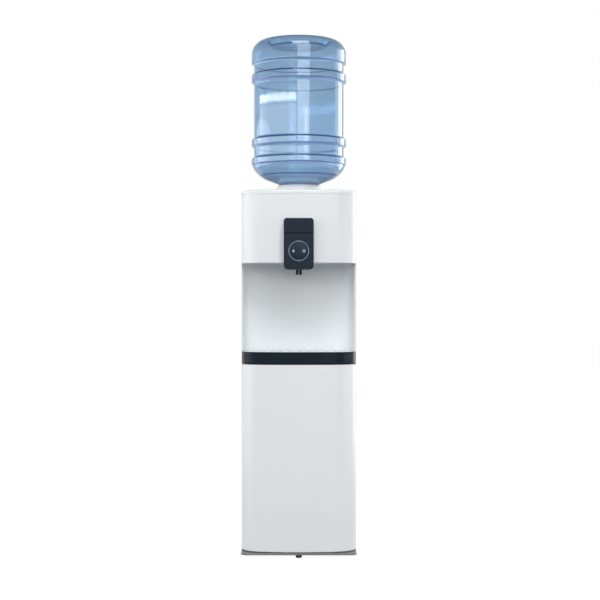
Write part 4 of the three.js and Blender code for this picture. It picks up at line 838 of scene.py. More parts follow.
# %% [markdown]
# The sides are folded sheet: one long face and a narrow return at the back, to which the rear panel is
# screwed. The lid is a thick outline with a generous round on its upper rim, hollowed from below, with a
# round hole for the bottle seat. The base stops short of the panels: a narrower neck between them leaves
# the dark seam that runs along the cabinet's foot.

# %% Side panels and lid
SHEET, SIDE_FLANGE, SHEET_EDGE = 2 * MM, 14 * MM, 0.7 * MM
LID_EDGE, LID_HOLE = 7 * MM, 70 * MM
REAR_CORNER = 15 * MM

for side, node in ((-1, "left_side_panel"), (1, "right_side_panel")):
    low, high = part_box(node)
    outer, inner, flange = side * HALF, side * (HALF - SHEET), side * (HALF - SIDE_FLANGE)
    plan = [(inner, low.y), (outer, low.y), (outer, REAR_Y), (flange, REAR_Y), (flange, REAR_Y - SHEET),
            (inner, REAR_Y - SHEET), (inner, low.y)]
    corners = [(x, y, low.z) for x, y in plan]
    piece = pull(pen(node, corners[0], corners[1:]), high.z - low.z)
    dress(soften(piece, SHEET_EDGE, 2), node)


def lid_outline(name, inset, z):
    """The lid in plan: the bowed front, and two smaller round corners at the back."""
    corner_x, corner_y = HALF - REAR_CORNER, REAR_Y - REAR_CORNER
    strokes = front_strokes() + [
        (HALF - inset, corner_y, z), (Vector((corner_x, corner_y, z)), QUARTER, 8),
        (-corner_x, REAR_Y - inset, z), (Vector((-corner_x, corner_y, z)), QUARTER, 8),
        (inset - HALF, CORNER_Y, z)]
    return pen(name, (inset - HALF, CORNER_Y, z), strokes)


low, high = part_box("top_cover")
lid = pull(lid_outline("top_cover", 0, low.z), high.z - low.z)
round_rim(lid, LID_EDGE, high.z, 8)
cut(lid, pull(lid_outline("lid inside", WALL, low.z - WALL), high.z - low.z),
    upright("lid hole", (0, axis_y), low.z, high.z + WALL, LID_HOLE, 96))
dress(lid, "top_cover")
print("sides and lid dressed")

# %% Base and feet
BASE_EDGE, STUD_FOOT = 2 * MM, 16 * MM
SEAM, SEAM_DEPTH = 2.5 * MM, 4 * MM
BASE_TOP = STUD_FOOT - SEAM
STUD_RADIUS, STUD_EDGE = 3 * MM, 0.5 * MM
FOOT_CHAMFER, FOOT_EDGE = 1.5 * MM, 0.8 * MM
GROMMETS = [f"compressor_grommet_{number}" for number in (1, 2, 3, 4)]


def centre_of(node):
    low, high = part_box(node)
    return (low + high) / 2


low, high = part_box("base_plate")
base = plate("base_plate", low, (high.x, high.y, BASE_TOP), REAR_CORNER, axis=2)
round_rim(base, BASE_EDGE, BASE_TOP, 4)
round_rim(base, MM, low.z, 3)
weld(base, pull(lid_outline("base neck", SEAM_DEPTH, BASE_TOP - MM), SEAM + MM))
studs = [soften(upright("stud", centre_of(node), STUD_FOOT - MM, high.z, STUD_RADIUS, 24), STUD_EDGE, 2)
         for node in GROMMETS]
dress(gather(base, *studs), "base_plate")

for node in ("foot_front_left", "foot_front_right", "foot_rear_left", "foot_rear_right", "foot_front_centre"):
    low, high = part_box(node)
    radius = (high.y - low.y) / 2
    foot = turn(node, [(0, low.z), (radius - FOOT_CHAMFER, low.z), (radius, low.z + FOOT_CHAMFER),
                       (radius, high.z), (0, high.z)], centre_of(node).xy, 48, FOOT_EDGE)
    dress(foot, node)
print("base and feet dressed")

# %% [markdown]
# The alcove is one white moulding: two straight cheeks, two round inner corners and a back wall, closed above
# by a ceiling with a slot for the spouts. Where the walls meet the ceiling a small fillet gathers the shade.

# %% Alcove liner
LINER_WALL, LINER_BACK = 2.5 * MM, -20.5 * MM
INNER_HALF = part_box("alcove_liner")[1].x
LINER_HALF = INNER_HALF - LINER_WALL
ALCOVE_BACK = LINER_BACK - LINER_WALL
LINER_FRONT = CORNER_Y + 2.3 * MM
ALCOVE_CORNER = 46 * MM
ALCOVE_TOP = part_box("head_front_panel")[0].z
SPOUT_Y = -111 * MM
SLOT_HALF, SLOT_REACH, SLOT_CORNER = 9.7 * MM, 5 * MM, 2 * MM
MOULD_EDGE, BEVEL_ANGLE = 0.9 * MM, 40


def u_strokes(half, back, radius, z, backwards=False):
    """From the front right, round the back of the alcove, to the front left."""
    right, left = Vector((half - radius, back - radius, z)), Vector((radius - half, back - radius, z))
    if backwards:
        return [(-half, back - radius, z), (left, -QUARTER, 12), (half - radius, back, z),
                (right, -QUARTER, 12), (half, LINER_FRONT, z)]
    return [(half, back - radius, z), (right, QUARTER, 12), (radius - half, back, z), (left, QUARTER, 12),
            (-half, LINER_FRONT, z)]


low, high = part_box("alcove_liner")
start = (INNER_HALF, LINER_FRONT, low.z)
strokes = u_strokes(INNER_HALF, LINER_BACK, ALCOVE_CORNER + LINER_WALL, low.z)
strokes += [(-LINER_HALF, LINER_FRONT, low.z)]
strokes += u_strokes(LINER_HALF, ALCOVE_BACK, ALCOVE_CORNER, low.z, backwards=True) + [start]
liner = pull(pen("alcove_liner", start, strokes), high.z - low.z)
start = (WALL + FIT - HALF, CORNER_Y, ALCOVE_TOP)
strokes = front_strokes() + [(INNER_HALF, LINER_FRONT, ALCOVE_TOP)]
strokes += u_strokes(INNER_HALF, LINER_BACK, ALCOVE_CORNER + LINER_WALL, ALCOVE_TOP) + [start]
weld(liner, pull(pen("ceiling", start, strokes), high.z - ALCOVE_TOP))
cut(liner, plate("spout slot", (-SLOT_HALF, SPOUT_Y - SLOT_REACH, ALCOVE_TOP - WALL),
                 (SLOT_HALF, SPOUT_Y + SLOT_REACH, high.z + WALL), SLOT_CORNER, axis=2))
dress(soften(liner, MOULD_EDGE, 3, BEVEL_ANGLE), "alcove_liner")
print("liner:", len(liner.data.polygons), "faces")

# %% [markdown]
# The drip tray continues the front's curve and is rounded at its foot. It steps in to slide between the
# cheeks. Its grille drops onto a ledge inside the rim. From the eye's height the grille's top is a thin white
# line, broken by its slots.

# %% Drip tray and grille
LEDGE, TRAY_FOOT, TRAY_EDGE = 3 * MM, 10 * MM, 0.8 * MM
GRILLE_THICKNESS, GRILLE_EDGE = 4 * MM, 0.8 * MM
SLOT_WIDTH, SLOT_PITCH, SLOT_MARGIN, CROSS_BAR = 5 * MM, 25.5 * MM, 14 * MM, 10 * MM
SLOT_END = 0.49 * SLOT_WIDTH


def tray_outline(name, inset, z):
    side, back, radius = LINER_HALF - FIT - inset, ALCOVE_BACK - FIT - inset, ALCOVE_CORNER - FIT - inset
    start = (inset - HALF, CORNER_Y, z)
    strokes = front_strokes() + [(side, CORNER_Y, z)]
    strokes += u_strokes(side, back, radius, z)[:-1] + [(-side, CORNER_Y, z), start]
    return pen(name, start, strokes)


def slot_ends(x):
    """How far a grille slot reaches forwards and backwards at its place across the bow."""
    bow = BOW_CENTRE.y - math.sqrt(BOW ** 2 - x ** 2) - FRONT_Y
    beyond = max(abs(x) - (HALF - CORNER), 0)
    front = FRONT_Y + max(bow, CORNER - math.sqrt(CORNER ** 2 - beyond ** 2)) + SLOT_MARGIN
    return front, ALCOVE_BACK - SLOT_MARGIN - max(abs(x) - LINER_HALF + ALCOVE_CORNER, 0) / 2


low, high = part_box("drip_tray")
tray = pull(tray_outline("drip_tray", 0, low.z), high.z - low.z)
round_rim(tray, TRAY_FOOT, low.z, 8, on_outer_face)
cut(tray, pull(tray_outline("basin", WALL + LEDGE, low.z + WALL), high.z - low.z),
    pull(tray_outline("mouth", WALL, high.z - GRILLE_THICKNESS - FIT), high.z - low.z))
dress(soften(tray, TRAY_EDGE, 3, BEVEL_ANGLE), "drip_tray")

low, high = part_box("drip_grille")
grille = pull(tray_outline("drip_grille", WALL + FIT, low.z), high.z - low.z)
round_rim(grille, GRILLE_EDGE, high.z, 3)
middle_y = (FRONT_Y + ALCOVE_BACK) / 2
reach = int((LINER_HALF - SLOT_MARGIN) / SLOT_PITCH)
slots = []
for number in range(-reach, reach + 1):
    x = number * SLOT_PITCH
    front, back = slot_ends(x)
    for y0, y1 in ((front, middle_y - CROSS_BAR / 2), (middle_y + CROSS_BAR / 2, back)):
        slots.append(plate("slot", (x - SLOT_WIDTH / 2, y0, low.z - WALL),
                           (x + SLOT_WIDTH / 2, y1, high.z + WALL), SLOT_END, axis=2))
cut(grille, gather(*slots))
dress(grille, "drip_grille")
print("slots:", len(slots))

# %% [markdown]
# The bottle is a blow moulding turned on its head. Its profile climbs from the neck over the rounded shoulder
# to the first rib, then a groove, a second rib, the long waist, a third rib, and a round crown whose base is
# dished. Only the outer line is drawn, in millimetres, with each corner rounded; the wall is then thickened
# inwards by two millimetres everywhere, as the mould leaves it. Each long run has a support point near its
# ends, which keeps the shading of the straight wall straight.

# %% Bottle
NECK, FLARE, RIB, WAIST, SLOPE, SUPPORT = 24, 33, 135, 128, 5, 3.5
MOUTH_Z, FLARE_Z, SHOULDER_Z = 976.0, 1024.0, 1096.0
SHOULDER = [(56, 1038.6), (97, 1053.5), (113, 1064.6), (124, 1075.7), (131, 1087), (132, SHOULDER_Z - 3)]
BANDS = (("rib", 16), ("groove", 35), ("rib", 19), ("groove", 163), ("rib", 21), ("groove", 33))
CROWN_TOP_Z, CROWN_ROUND = 1451.0, 42
DISH = [(86, CROWN_TOP_Z), (79, 1433.6), (0, 1436)]
OUTER_PART, SHOULDER_SIDE, SHOULDER_END, FOOT_END = 100 * MM, 131.5 * MM, 1090 * MM, 1060 * MM
DISH_RIM_ROUND, DISH_FOOT_ROUND, RIB_ROUND, SHOULDER_ROUND, NECK_ROUND = 5, 4, 2, 6, 3.5
BOTTLE_WALL, BOTTLE_STEPS = 2 * MM, 128


def in_metres(profile):
    return [(radius * MM, height * MM) for radius, height in profile]


profile = [(NECK, MOUTH_Z), (NECK, FLARE_Z - SLOPE), (FLARE, FLARE_Z), *SHOULDER, (RIB, SHOULDER_Z),
           (RIB, SHOULDER_Z + SUPPORT)]
z = SHOULDER_Z
for kind, height in BANDS:
    top = z + height
    if kind == "groove":
        start, end = z + SLOPE, top - SLOPE
        profile += [(WAIST, start), (WAIST, start + SUPPORT), (WAIST, end - SUPPORT), (WAIST, end),
                    (RIB, top), (RIB, top + SUPPORT)]
    else:
        profile += [(RIB, top - SUPPORT), (RIB, top)]
    z = top
profile += [(RIB, CROWN_TOP_Z - CROWN_ROUND - SUPPORT), (RIB, CROWN_TOP_Z), *DISH]
ribs_low, ribs_high, top_z = (SHOULDER_Z - 4) * MM, (z + 1) * MM, CROWN_TOP_Z * MM
dish_rim, dish_foot = DISH[0][0] * MM, DISH[1][0] * MM

bottle = profile_line("bottle", in_metres(profile), (0, axis_y))
fillet(bottle, CROWN_ROUND * MM, lambda at: near(at.z, top_z) and at.x > OUTER_PART, 16)
fillet(bottle, DISH_RIM_ROUND * MM, lambda at: near(at.z, top_z) and near(at.x, dish_rim), 5)
fillet(bottle, DISH_FOOT_ROUND * MM, lambda at: near(at.x, dish_foot))
fillet(bottle, RIB_ROUND * MM, lambda at: ribs_low < at.z < ribs_high)
fillet(bottle, SHOULDER_ROUND * MM, lambda at: OUTER_PART < at.x < SHOULDER_SIDE and at.z < SHOULDER_END)
fillet(bottle, NECK_ROUND * MM, lambda at: at.z < FOOT_END)
revolve(bottle, (0, axis_y), BOTTLE_STEPS)
apply_modifier(bottle, "SOLIDIFY", thickness=BOTTLE_WALL, offset=-1, use_even_offset=True)
dress(outward(bottle), "bottle", angle=60)
print("bottle:", len(bottle.data.polygons), "faces, size", [round(d, 4) for d in bottle.dimensions])

# %% [markdown]
# Under the bottle sits the seat: a white funnel whose rim carries the shoulder, in a white lifted by painted
# light against the bottle's shadow. The cap on the neck has a sleeve that the probe opens, and it shows
# faintly through the blue wall. Both are drawn as a profile in millimetres, and turned round the bottle's
# axis.

# %% Bottle cap and seat
CAP_RADIUS, SKIRT_INNER, SLEEVE_INNER, SLEEVE_OUTER = 28, 24.3, 11.6, 13.2
CAP_FLOOR, SLEEVE_HEIGHT = 3.6, 20
SEAT_FLANGE, SEAT_RIM, CONTACT, CUP, SEAT_WALL, PROBE_HOLE = 80, 60, 52.5, 31, 2.5, 11.3
CONE_SLOPE, CONE_THICKNESS = 0.63, 3.2


def turn_on_axis(name, profile, steps, rounding, segments):
    return turn(name, in_metres(profile), (0, axis_y), steps, rounding * MM, segments)


low, high = (corner.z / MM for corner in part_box("bottle_cap"))
cap = turn_on_axis("bottle_cap", [
    (SLEEVE_INNER, low), (CAP_RADIUS, low), (CAP_RADIUS, high), (SKIRT_INNER, high),
    (SKIRT_INNER, low + CAP_FLOOR), (SLEEVE_OUTER, low + CAP_FLOOR), (SLEEVE_OUTER, low + SLEEVE_HEIGHT),
    (SLEEVE_INNER, low + SLEEVE_HEIGHT), (SLEEVE_INNER, low)], 72, 0.6, 2)
dress(cap, "bottle_cap")

cup_bottom, rim_top = (corner.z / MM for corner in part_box("bottle_seat"))
lid_top = (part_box("top_cover")[1].z + FIT) / MM
cup_z = rim_top - (CONTACT - CUP) * CONE_SLOPE
outer_z = rim_top - (CONTACT - CUP - SEAT_WALL) * CONE_SLOPE - CONE_THICKNESS
seat = turn_on_axis("bottle_seat", [
    (PROBE_HOLE, cup_bottom), (CUP + SEAT_WALL, cup_bottom), (CUP + SEAT_WALL, outer_z),
    (CONTACT, rim_top - CONE_THICKNESS), (SEAT_RIM - SEAT_WALL / 2, rim_top - 4), (SEAT_RIM, lid_top),
    (SEAT_FLANGE, lid_top), (SEAT_FLANGE - 1, lid_top + SEAT_WALL), (SEAT_RIM + 2 * SEAT_WALL, lid_top + 3.5),
    (SEAT_RIM + SEAT_WALL, rim_top - 5), (SEAT_RIM - 0.5, rim_top), (CONTACT, rim_top), (CUP, cup_z),
    (CUP, cup_bottom + SEAT_WALL), (PROBE_HOLE, cup_bottom + SEAT_WALL), (PROBE_HOLE, cup_bottom)],
    96, 0.9, 3)
# The seat wears the white with painted light against the bottle's shadow.
dress(seat, "bottle_seat", seat_white_painted_lit)
print("seat and cap dressed")

# %% [markdown]
# The tap stands proud of the head on a shallow neck. Its face is two covers with a fine seam between them,
# and a lip behind the seam closes the view inside. The lower cover has a round hole, where an anodised ring
# frames the push disc. The disc rocks a few degrees: its left side gives hot water and its right side cold.

# %% Tap housing
TAP_HALF, TAP_WALL = 41 * MM, 2.5 * MM
TAP_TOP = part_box("tap_upper_cover")[1].z
TAP_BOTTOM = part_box("tap_housing")[0].z
TAP_TOP_ROUND, TAP_BOTTOM_ROUND, TAP_EDGE = 8 * MM, 10 * MM, 0.5 * MM
NECK_HALF, NECK_LOW, NECK_HIGH = 37.7 * MM, ALCOVE_TOP + 2.8 * MM, NOTCH_TOP - FIT
NECK_FRONT, NECK_BACK = FRONT_Y - 4 * MM, FRONT_Y + 6 * MM
HOUSING_BACK, HOLLOW_BACK, HOLLOW_FRONT = FRONT_Y + 3.2 * MM, FRONT_Y - 3 * MM, FRONT_Y - 8 * MM
TONGUE_HALF, TONGUE_FRONT = 30 * MM, FRONT_Y - 5 * MM
SPOUT_X, SPOUT_FREE, CUT_DEPTH = 4.7 * MM, 4.3 * MM, 60 * MM

low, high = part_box("tap_housing")
housing = plate("tap_housing", (-TAP_HALF, low.y, TAP_BOTTOM), (TAP_HALF, HOUSING_BACK, TAP_TOP),
                TAP_BOTTOM_ROUND, TAP_TOP_ROUND)
cut(housing, front_wall("behind", -FIT, CUT_DEPTH, ALCOVE_TOP - FIT, TAP_TOP + WALL))
weld(housing, block("neck", (-NECK_HALF, NECK_FRONT, NECK_LOW), (NECK_HALF, NECK_BACK, NECK_HIGH)),
     plate("tongue", (-TONGUE_HALF, TONGUE_FRONT, TAP_BOTTOM), (TONGUE_HALF, high.y, ALCOVE_TOP - FIT),
           TAP_BOTTOM_ROUND, axis=2))
cut(housing,
    plate("front hollow", (TAP_WALL - TAP_HALF, low.y - WALL, TAP_BOTTOM + TAP_WALL),
          (TAP_HALF - TAP_WALL, HOLLOW_BACK, TAP_TOP - TAP_WALL),
          TAP_BOTTOM_ROUND - TAP_WALL, TAP_TOP_ROUND - TAP_WALL),
    block("neck hollow", (TAP_WALL - NECK_HALF, HOLLOW_FRONT, NECK_LOW + TAP_WALL),
          (NECK_HALF - TAP_WALL, NECK_BACK - TAP_WALL, NECK_HIGH - TAP_WALL)),
    *(upright("spout bore", (x, SPOUT_Y), TAP_BOTTOM - WALL, ALCOVE_TOP + WALL, SPOUT_FREE, 32)
      for x in (-SPOUT_X, SPOUT_X)))
dress(soften(housing, TAP_EDGE, 2, BEVEL_ANGLE), "tap_housing")
print("tap housing dressed")

# %% Tap covers
COVER_EDGE = 2.2 * MM
SEAM_ROUND, SEAM_GAP = 1.2 * MM, 1.6 * MM
SHARPEST = 0.5 * MM
RING_RADIUS, RING_INNER, RING_EDGE = 28 * MM, 26 * MM, 0.7 * MM
DISC_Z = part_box("selector_ring")[0].z + RING_RADIUS
LIP_FRONT, LIP_BACK = 4 * MM, 6 * MM


def tap_cover(node, low_radius, high_radius, gap=0.0):
    """A shell over the front of the tap; a gap is left free below it."""
    low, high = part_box(node)
    low.z += gap
    piece = plate(node, low, high, low_radius, high_radius)
    round_edges(piece, COVER_EDGE, lambda at, e: near(at.y, low.y), 5)
    inner_low = (low.x + TAP_WALL, low.y + TAP_WALL, low.z + TAP_WALL)
    inner_high = (high.x - TAP_WALL, high.y + WALL, high.z - TAP_WALL)
    inner_radii = [max(radius - TAP_WALL, SHARPEST) for radius in (low_radius, high_radius)]
    return cut(piece, plate("inside", inner_low, inner_high, *inner_radii))


dress(tap_cover("tap_upper_cover", SEAM_ROUND, TAP_TOP_ROUND, SEAM_GAP), "tap_upper_cover")
lower = tap_cover("tap_lower_cover", TAP_BOTTOM_ROUND, SEAM_ROUND)
low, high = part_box("tap_lower_cover")
cut(lower, rod("disc hole", (0, low.y - WALL, DISC_Z), (0, high.y + WALL, DISC_Z), RING_RADIUS + FIT, 96))
weld(lower, block("seam lip", (TAP_WALL - TAP_HALF, low.y + LIP_FRONT, high.z - MM),
                  (TAP_HALF - TAP_WALL, low.y + LIP_BACK, high.z + SEAM_GAP + MM)))
dress(lower, "tap_lower_cover")
print("tap covers dressed")

# %% [markdown]
# What is round to the eye is turned round an upright axis first, which is the simple way, and then tipped
# forward. The signs are raised: a drop for hot water, and a flake for cold, whose six arms are three thin
# bars with a pair of barbs on each end.

# %% Ring and disc
DOME, DISC_RIM, DISC_EDGE, DISC_ROUND = 3.2 * MM, 3 * MM, 1.2 * MM, 7 * MM
EDGE_CLIMB, SHOULDER_SHARE, SHOULDER_CLIMB = 0.35, 0.62, 0.88
HUB_RADIUS, HUB_HALF = 3.2 * MM, 20 * MM


def stand_forward(piece, offset):
    """Turns a piece made round +Z so that it points to the front, and puts it in its place."""
    return move(tilt(piece, 0, QUARTER), offset)


low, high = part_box("selector_ring")
depth = high.y - low.y
ring = turn("selector_ring", [(RING_INNER, 0), (RING_RADIUS, 0), (RING_RADIUS, depth), (RING_INNER, depth),
                              (RING_INNER, 0)], steps=128, rounding=RING_EDGE, segments=4)
dress(stand_forward(ring, (0, high.y, DISC_Z)), "selector_ring")

low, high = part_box("selector_rocker")
disc_radius = (high.x - low.x) / 2
face_y, hub_y = low.y, high.y - HUB_RADIUS
shoulder = disc_radius * SHOULDER_SHARE
disc = profile_line("selector_rocker", [
    (0, 0), (disc_radius, 0), (disc_radius, DISC_RIM + DOME * EDGE_CLIMB),
    (shoulder, DISC_RIM + DOME * SHOULDER_CLIMB), (0, DISC_RIM + DOME)])
fillet(disc, DISC_EDGE, lambda at: near(at.x, disc_radius))
fillet(disc, DISC_ROUND, lambda at: near(at.x, shoulder), 6)
stand_forward(revolve(disc), (0, face_y + DISC_RIM + DOME, DISC_Z))
weld(disc, upright("hub", (0, hub_y), DISC_Z - HUB_HALF, DISC_Z + HUB_HALF, HUB_RADIUS, 32))
dress(disc, "selector_rocker", disc_plastic, 40)
print("disc radius in mm:", round(disc_radius / MM, 1))

# %% Raised signs
SIGN_DEPTH, SIGN_X, SIGN_FACE = 1.5 * MM, 14.4 * MM, face_y + 0.05 * MM
ARM, BARB, BARB_AT, BAR_ROUND = (9.2 * MM, 1.0 * MM), (2.8 * MM, 0.8 * MM), 3.4 * MM, 0.45
DROP_RADIUS, DROP_TIP, DROP_STEPS = 2.9 * MM, 5.8 * MM, 20


def bar(name, size, angle):
    """A thin upright bar, turned about the line of sight."""
    length, width = size
    piece = plate(name, (-width / 2, 0, -length / 2), (width / 2, SIGN_DEPTH, length / 2), width * BAR_ROUND)
    return tilt(piece, 1, math.radians(angle))


flake = [bar("flake arm", ARM, turned) for turned in (0, 60, 120)]
for turned in range(0, 360, 60):
    for lean in (-45, 45):
        barb = bar("flake barb", BARB, lean)
        move(barb, (math.copysign(BARB[1], lean), 0, BARB_AT))
        flake.append(tilt(barb, 1, math.radians(turned)))
flake = gather(*flake)
flake.name = "cold_icon"
add_to("selector_rocker", move(flake, (SIGN_X, SIGN_FACE, DISC_Z)), icon_white)

lean = math.asin(DROP_RADIUS / DROP_TIP)
touch = Vector((-DROP_RADIUS * math.cos(lean), 0, DROP_RADIUS * math.sin(lean)))
drop = pen("hot_icon", (0, 0, DROP_TIP), [
    touch, (Vector((0, 0, 0)), -math.pi - 2 * lean, DROP_STEPS, BACK), (0, 0, DROP_TIP)])
pull(drop, SIGN_DEPTH, BACK)
add_to("selector_rocker", move(drop, (-SIGN_X, SIGN_FACE, DISC_Z - MM)), icon_white)
print("signs on the disc: drop and flake")

# %% Spouts
SPOUT_RADIUS, SPOUT_BEND, SPOUT_BORE = 4 * MM, 4.5 * MM, 2.6 * MM

for node, x in (("hot_spout", -SPOUT_X), ("cold_spout", SPOUT_X)):
    low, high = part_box(node)
    port_x = low.x if x < 0 else high.x
    port_z = high.z - SPOUT_RADIUS
    spout = tube(node, [(x, SPOUT_Y, low.z), (x, SPOUT_Y, port_z), (port_x, SPOUT_Y, port_z)],
                 SPOUT_RADIUS, SPOUT_BEND, 8)
    dress(cut(spout, upright("bore", (x, SPOUT_Y), low.z - WALL, TAP_BOTTOM, SPOUT_BORE, 32)), node)
print("tap finished")

# %% [markdown]
# The back is where the machine shows. A zinc sheet closes it, with two columns of louvres for the warm air.
# Each louvre is a slot under a pressed hood, so one hood is drawn and copied. Hooks folded out of the sheet
# carry the condenser, and slotted screws hold the sheet to the sides.

# %% Openings in the rear panel
REAR_FACE, COLLAR_RADIUS = 154.7 * MM, 13 * MM
FITTINGS_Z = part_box("drain_spigot")[0].z + COLLAR_RADIUS
SPIGOT_X, GLAND_X = centre_of("drain_spigot").x, centre_of("cord_gland").x
SWITCHES = ("heat_switch", "cool_switch")
SPIGOT_HOLE, GLAND_HOLE, SWITCH_FREE = 8.3 * MM, 7.3 * MM, 11 * MM
LOUVRE_ROWS, LOUVRE_X, LOUVRE_PITCH, LOUVRES_BELOW_TOP = 6, 57.6 * MM, 15 * MM, 60 * MM
LOUVRE_HALF, LOUVRE_HEIGHT = 42 * MM, 4 * MM


def switch_openings(front, back, half):
    """Tools that cut a free opening for each switch."""
    tools = []
    for node in SWITCHES:
        low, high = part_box(node)
        tools.append(block("switch hole", (low.x - FIT, front, FITTINGS_Z - half),
                           (high.x + FIT, back, FITTINGS_Z + half)))
    return tools


low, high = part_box("rear_panel")
rear = block("rear_panel", low, (high.x, REAR_FACE, high.z))
before, behind = low.y - WALL, REAR_FACE + WALL
louvre_top = high.z - LOUVRES_BELOW_TOP
louvres = [(x, louvre_top - row * LOUVRE_PITCH) for row in range(LOUVRE_ROWS) for x in (-LOUVRE_X, LOUVRE_X)]
openings = [rod("hole", (x, before, FITTINGS_Z), (x, behind, FITTINGS_Z), radius)
            for x, radius in ((SPIGOT_X, SPIGOT_HOLE), (GLAND_X, GLAND_HOLE))]
openings += switch_openings(before, behind, SWITCH_FREE)
openings += [block("louvre", (x - LOUVRE_HALF, before, z - LOUVRE_HEIGHT), (x + LOUVRE_HALF, behind, z))
             for x, z in louvres]
cut(rear, gather(*openings))
print("louvres:", len(louvres))

# %% Hoods, hooks and screws on the rear panel
HOOD_ROOT, HOOD_STEP, HOOD_REACH = 0.4 * MM, 1.5 * MM, 4.5 * MM
HOOD_BEND, HOOD_SHEET, HOOD_RISE = 1.6 * MM, 0.9 * MM, 0.5 * MM
TUBE_Y, TUBE_RADIUS = 179.6 * MM, 2.4 * MM
CONDENSER_TOP, CONDENSER_BOTTOM, PASSES = 960.7 * MM, 362.3 * MM, 12
PASS_PITCH = (CONDENSER_TOP - CONDENSER_BOTTOM) / (PASSES - 1)
HOOK_LIP, HOOK_HALF, HOOK_EDGE, HOOK_ROOT = 3 * MM, 6 * MM, 0.4 * MM, 0.5 * MM
HOOK_X = 198.7 * MM * 5 / 12
SCREW_X, SCREW_HEIGHTS = HALF - 7 * MM - SHEET, (0.04, 0.35, 0.66, 0.97)
SCREW_HEAD, SCREW_PROUD, SCREW_ROUND = 3.6 * MM, 2 * MM, 0.9 * MM
SLOT_LONG, SLOT_THIN = 2.4 * MM, 0.4 * MM

hood_foot = louvre_top - LOUVRE_HEIGHT + HOOD_RISE
hood = pen("hood", (-LOUVRE_HALF, REAR_FACE - HOOD_ROOT, louvre_top + MM),
           [(-LOUVRE_HALF, REAR_FACE + HOOD_STEP, louvre_top),
            (-LOUVRE_HALF, REAR_FACE + HOOD_REACH, hood_foot)])
fillet(hood, HOOD_BEND)
bpy.ops.mesh.select_all(action="SELECT")
bpy.ops.mesh.extrude_region_move(TRANSFORM_OT_translate={"value": (2 * LOUVRE_HALF, 0, 0)})
done()
outward(apply_modifier(hood, "SOLIDIFY", thickness=HOOD_SHEET, offset=0))
extras = [copy_of(hood, "hood", (x, 0, z - louvre_top)) for x, z in louvres]
bpy.data.objects.remove(hood)

for level in (CONDENSER_TOP - PASS_PITCH, CONDENSER_BOTTOM + PASS_PITCH):
    for x in (-HOOK_X, HOOK_X):
        hook = plate("hook", (x - HOOK_HALF, REAR_FACE - HOOK_ROOT, level - TUBE_RADIUS - FIT - HOOK_LIP),
                     (x + HOOK_HALF, TUBE_Y + TUBE_RADIUS + HOOK_LIP, level), MM, axis=0)
        cut(hook, rod("seat", (x - HOOK_HALF - MM, TUBE_Y, level), (x + HOOK_HALF + MM, TUBE_Y, level),
                      TUBE_RADIUS + FIT, 32))
        extras.append(soften(hook, HOOK_EDGE, 2, BEVEL_ANGLE))

for x in (-SCREW_X, SCREW_X):
    for share in SCREW_HEIGHTS:
        z = low.z + share * (high.z - low.z)
        screw = rod("screw", (x, REAR_FACE - FIT, z), (x, REAR_FACE + SCREW_PROUD, z), SCREW_HEAD, 32)
        soften(screw, SCREW_ROUND)
        slot = block("slot", (x - SLOT_LONG, REAR_FACE + SCREW_PROUD / 2, z - SLOT_THIN),
                     (x + SLOT_LONG, REAR_FACE + SCREW_PROUD + MM, z + SLOT_THIN))
        extras.append(cut(screw, slot))
dress(gather(rear, *extras), "rear_panel")
print("hoods, hooks and screws:", len(extras))

# %% [markdown]
# The condenser is one long tube bent back and forth, with thin wires welded across it in front and behind:
# they are the fins. The tube is a single pen line. Its U-turns are rounded until the two corners meet, and
# the small jogs at its ends get a smaller radius.

# %% Condenser
TUBE_HALF, JOG = 138 * MM, 10 * MM
BRAZE_Z = CONDENSER_BOTTOM - 4 * JOG
WIRES, WIRE_RADIUS, WIRE_REACH, WELD = 31, 0.8 * MM, 12 * MM, 0.35 * MM
U_TURN, JOG_ROUND = 0.499, 0.98

corners = [(TUBE_HALF - JOG, CONDENSER_BOTTOM - 3 * JOG), (TUBE_HALF + JOG, CONDENSER_BOTTOM - JOG),
           (TUBE_HALF + JOG, CONDENSER_TOP)]
for number in range(PASSES - 1):
    z = CONDENSER_TOP - number * PASS_PITCH
    x = -TUBE_HALF if number % 2 == 0 else TUBE_HALF
    corners += [(x, z), (x, z - PASS_PITCH)]
corners += [(JOG - TUBE_HALF, CONDENSER_BOTTOM), (JOG - TUBE_HALF, BRAZE_Z)]
line = pen("condenser", (TUBE_HALF - JOG, TUBE_Y, BRAZE_Z), [(x, TUBE_Y, z) for x, z in corners])
fillet(line, PASS_PITCH * U_TURN, lambda at: near(abs(at.x), TUBE_HALF), 12)
fillet(line, JOG * JOG_ROUND, lambda at: near(abs(at.x), TUBE_HALF - JOG) or near(at.x, TUBE_HALF + JOG), 6)
condenser = girth(line, TUBE_RADIUS)
wires = []
for number in range(WIRES):
    x = (number / (WIRES - 1) - 0.5) * 2 * (TUBE_HALF - PASS_PITCH / 2)
    for side in (-1, 1):
        y = TUBE_Y + side * (TUBE_RADIUS + WIRE_RADIUS - WELD)
        wires.append(upright("wire", (x, y), CONDENSER_BOTTOM - WIRE_REACH, CONDENSER_TOP + WIRE_REACH,
                             WIRE_RADIUS, 8))
dress(gather(condenser, *wires), "condenser", angle=50)
print("condenser:", len(condenser.data.polygons), "faces")

# %% [markdown]
# Below, in the open bay, stands the compressor: a drawn steel can with a welded seam, on a plate that rests
# on rubber grommets. Its outline is given in shares of the can's radius and height, so that the can keeps its
# look at any size. A cover hides the terminals on its side.

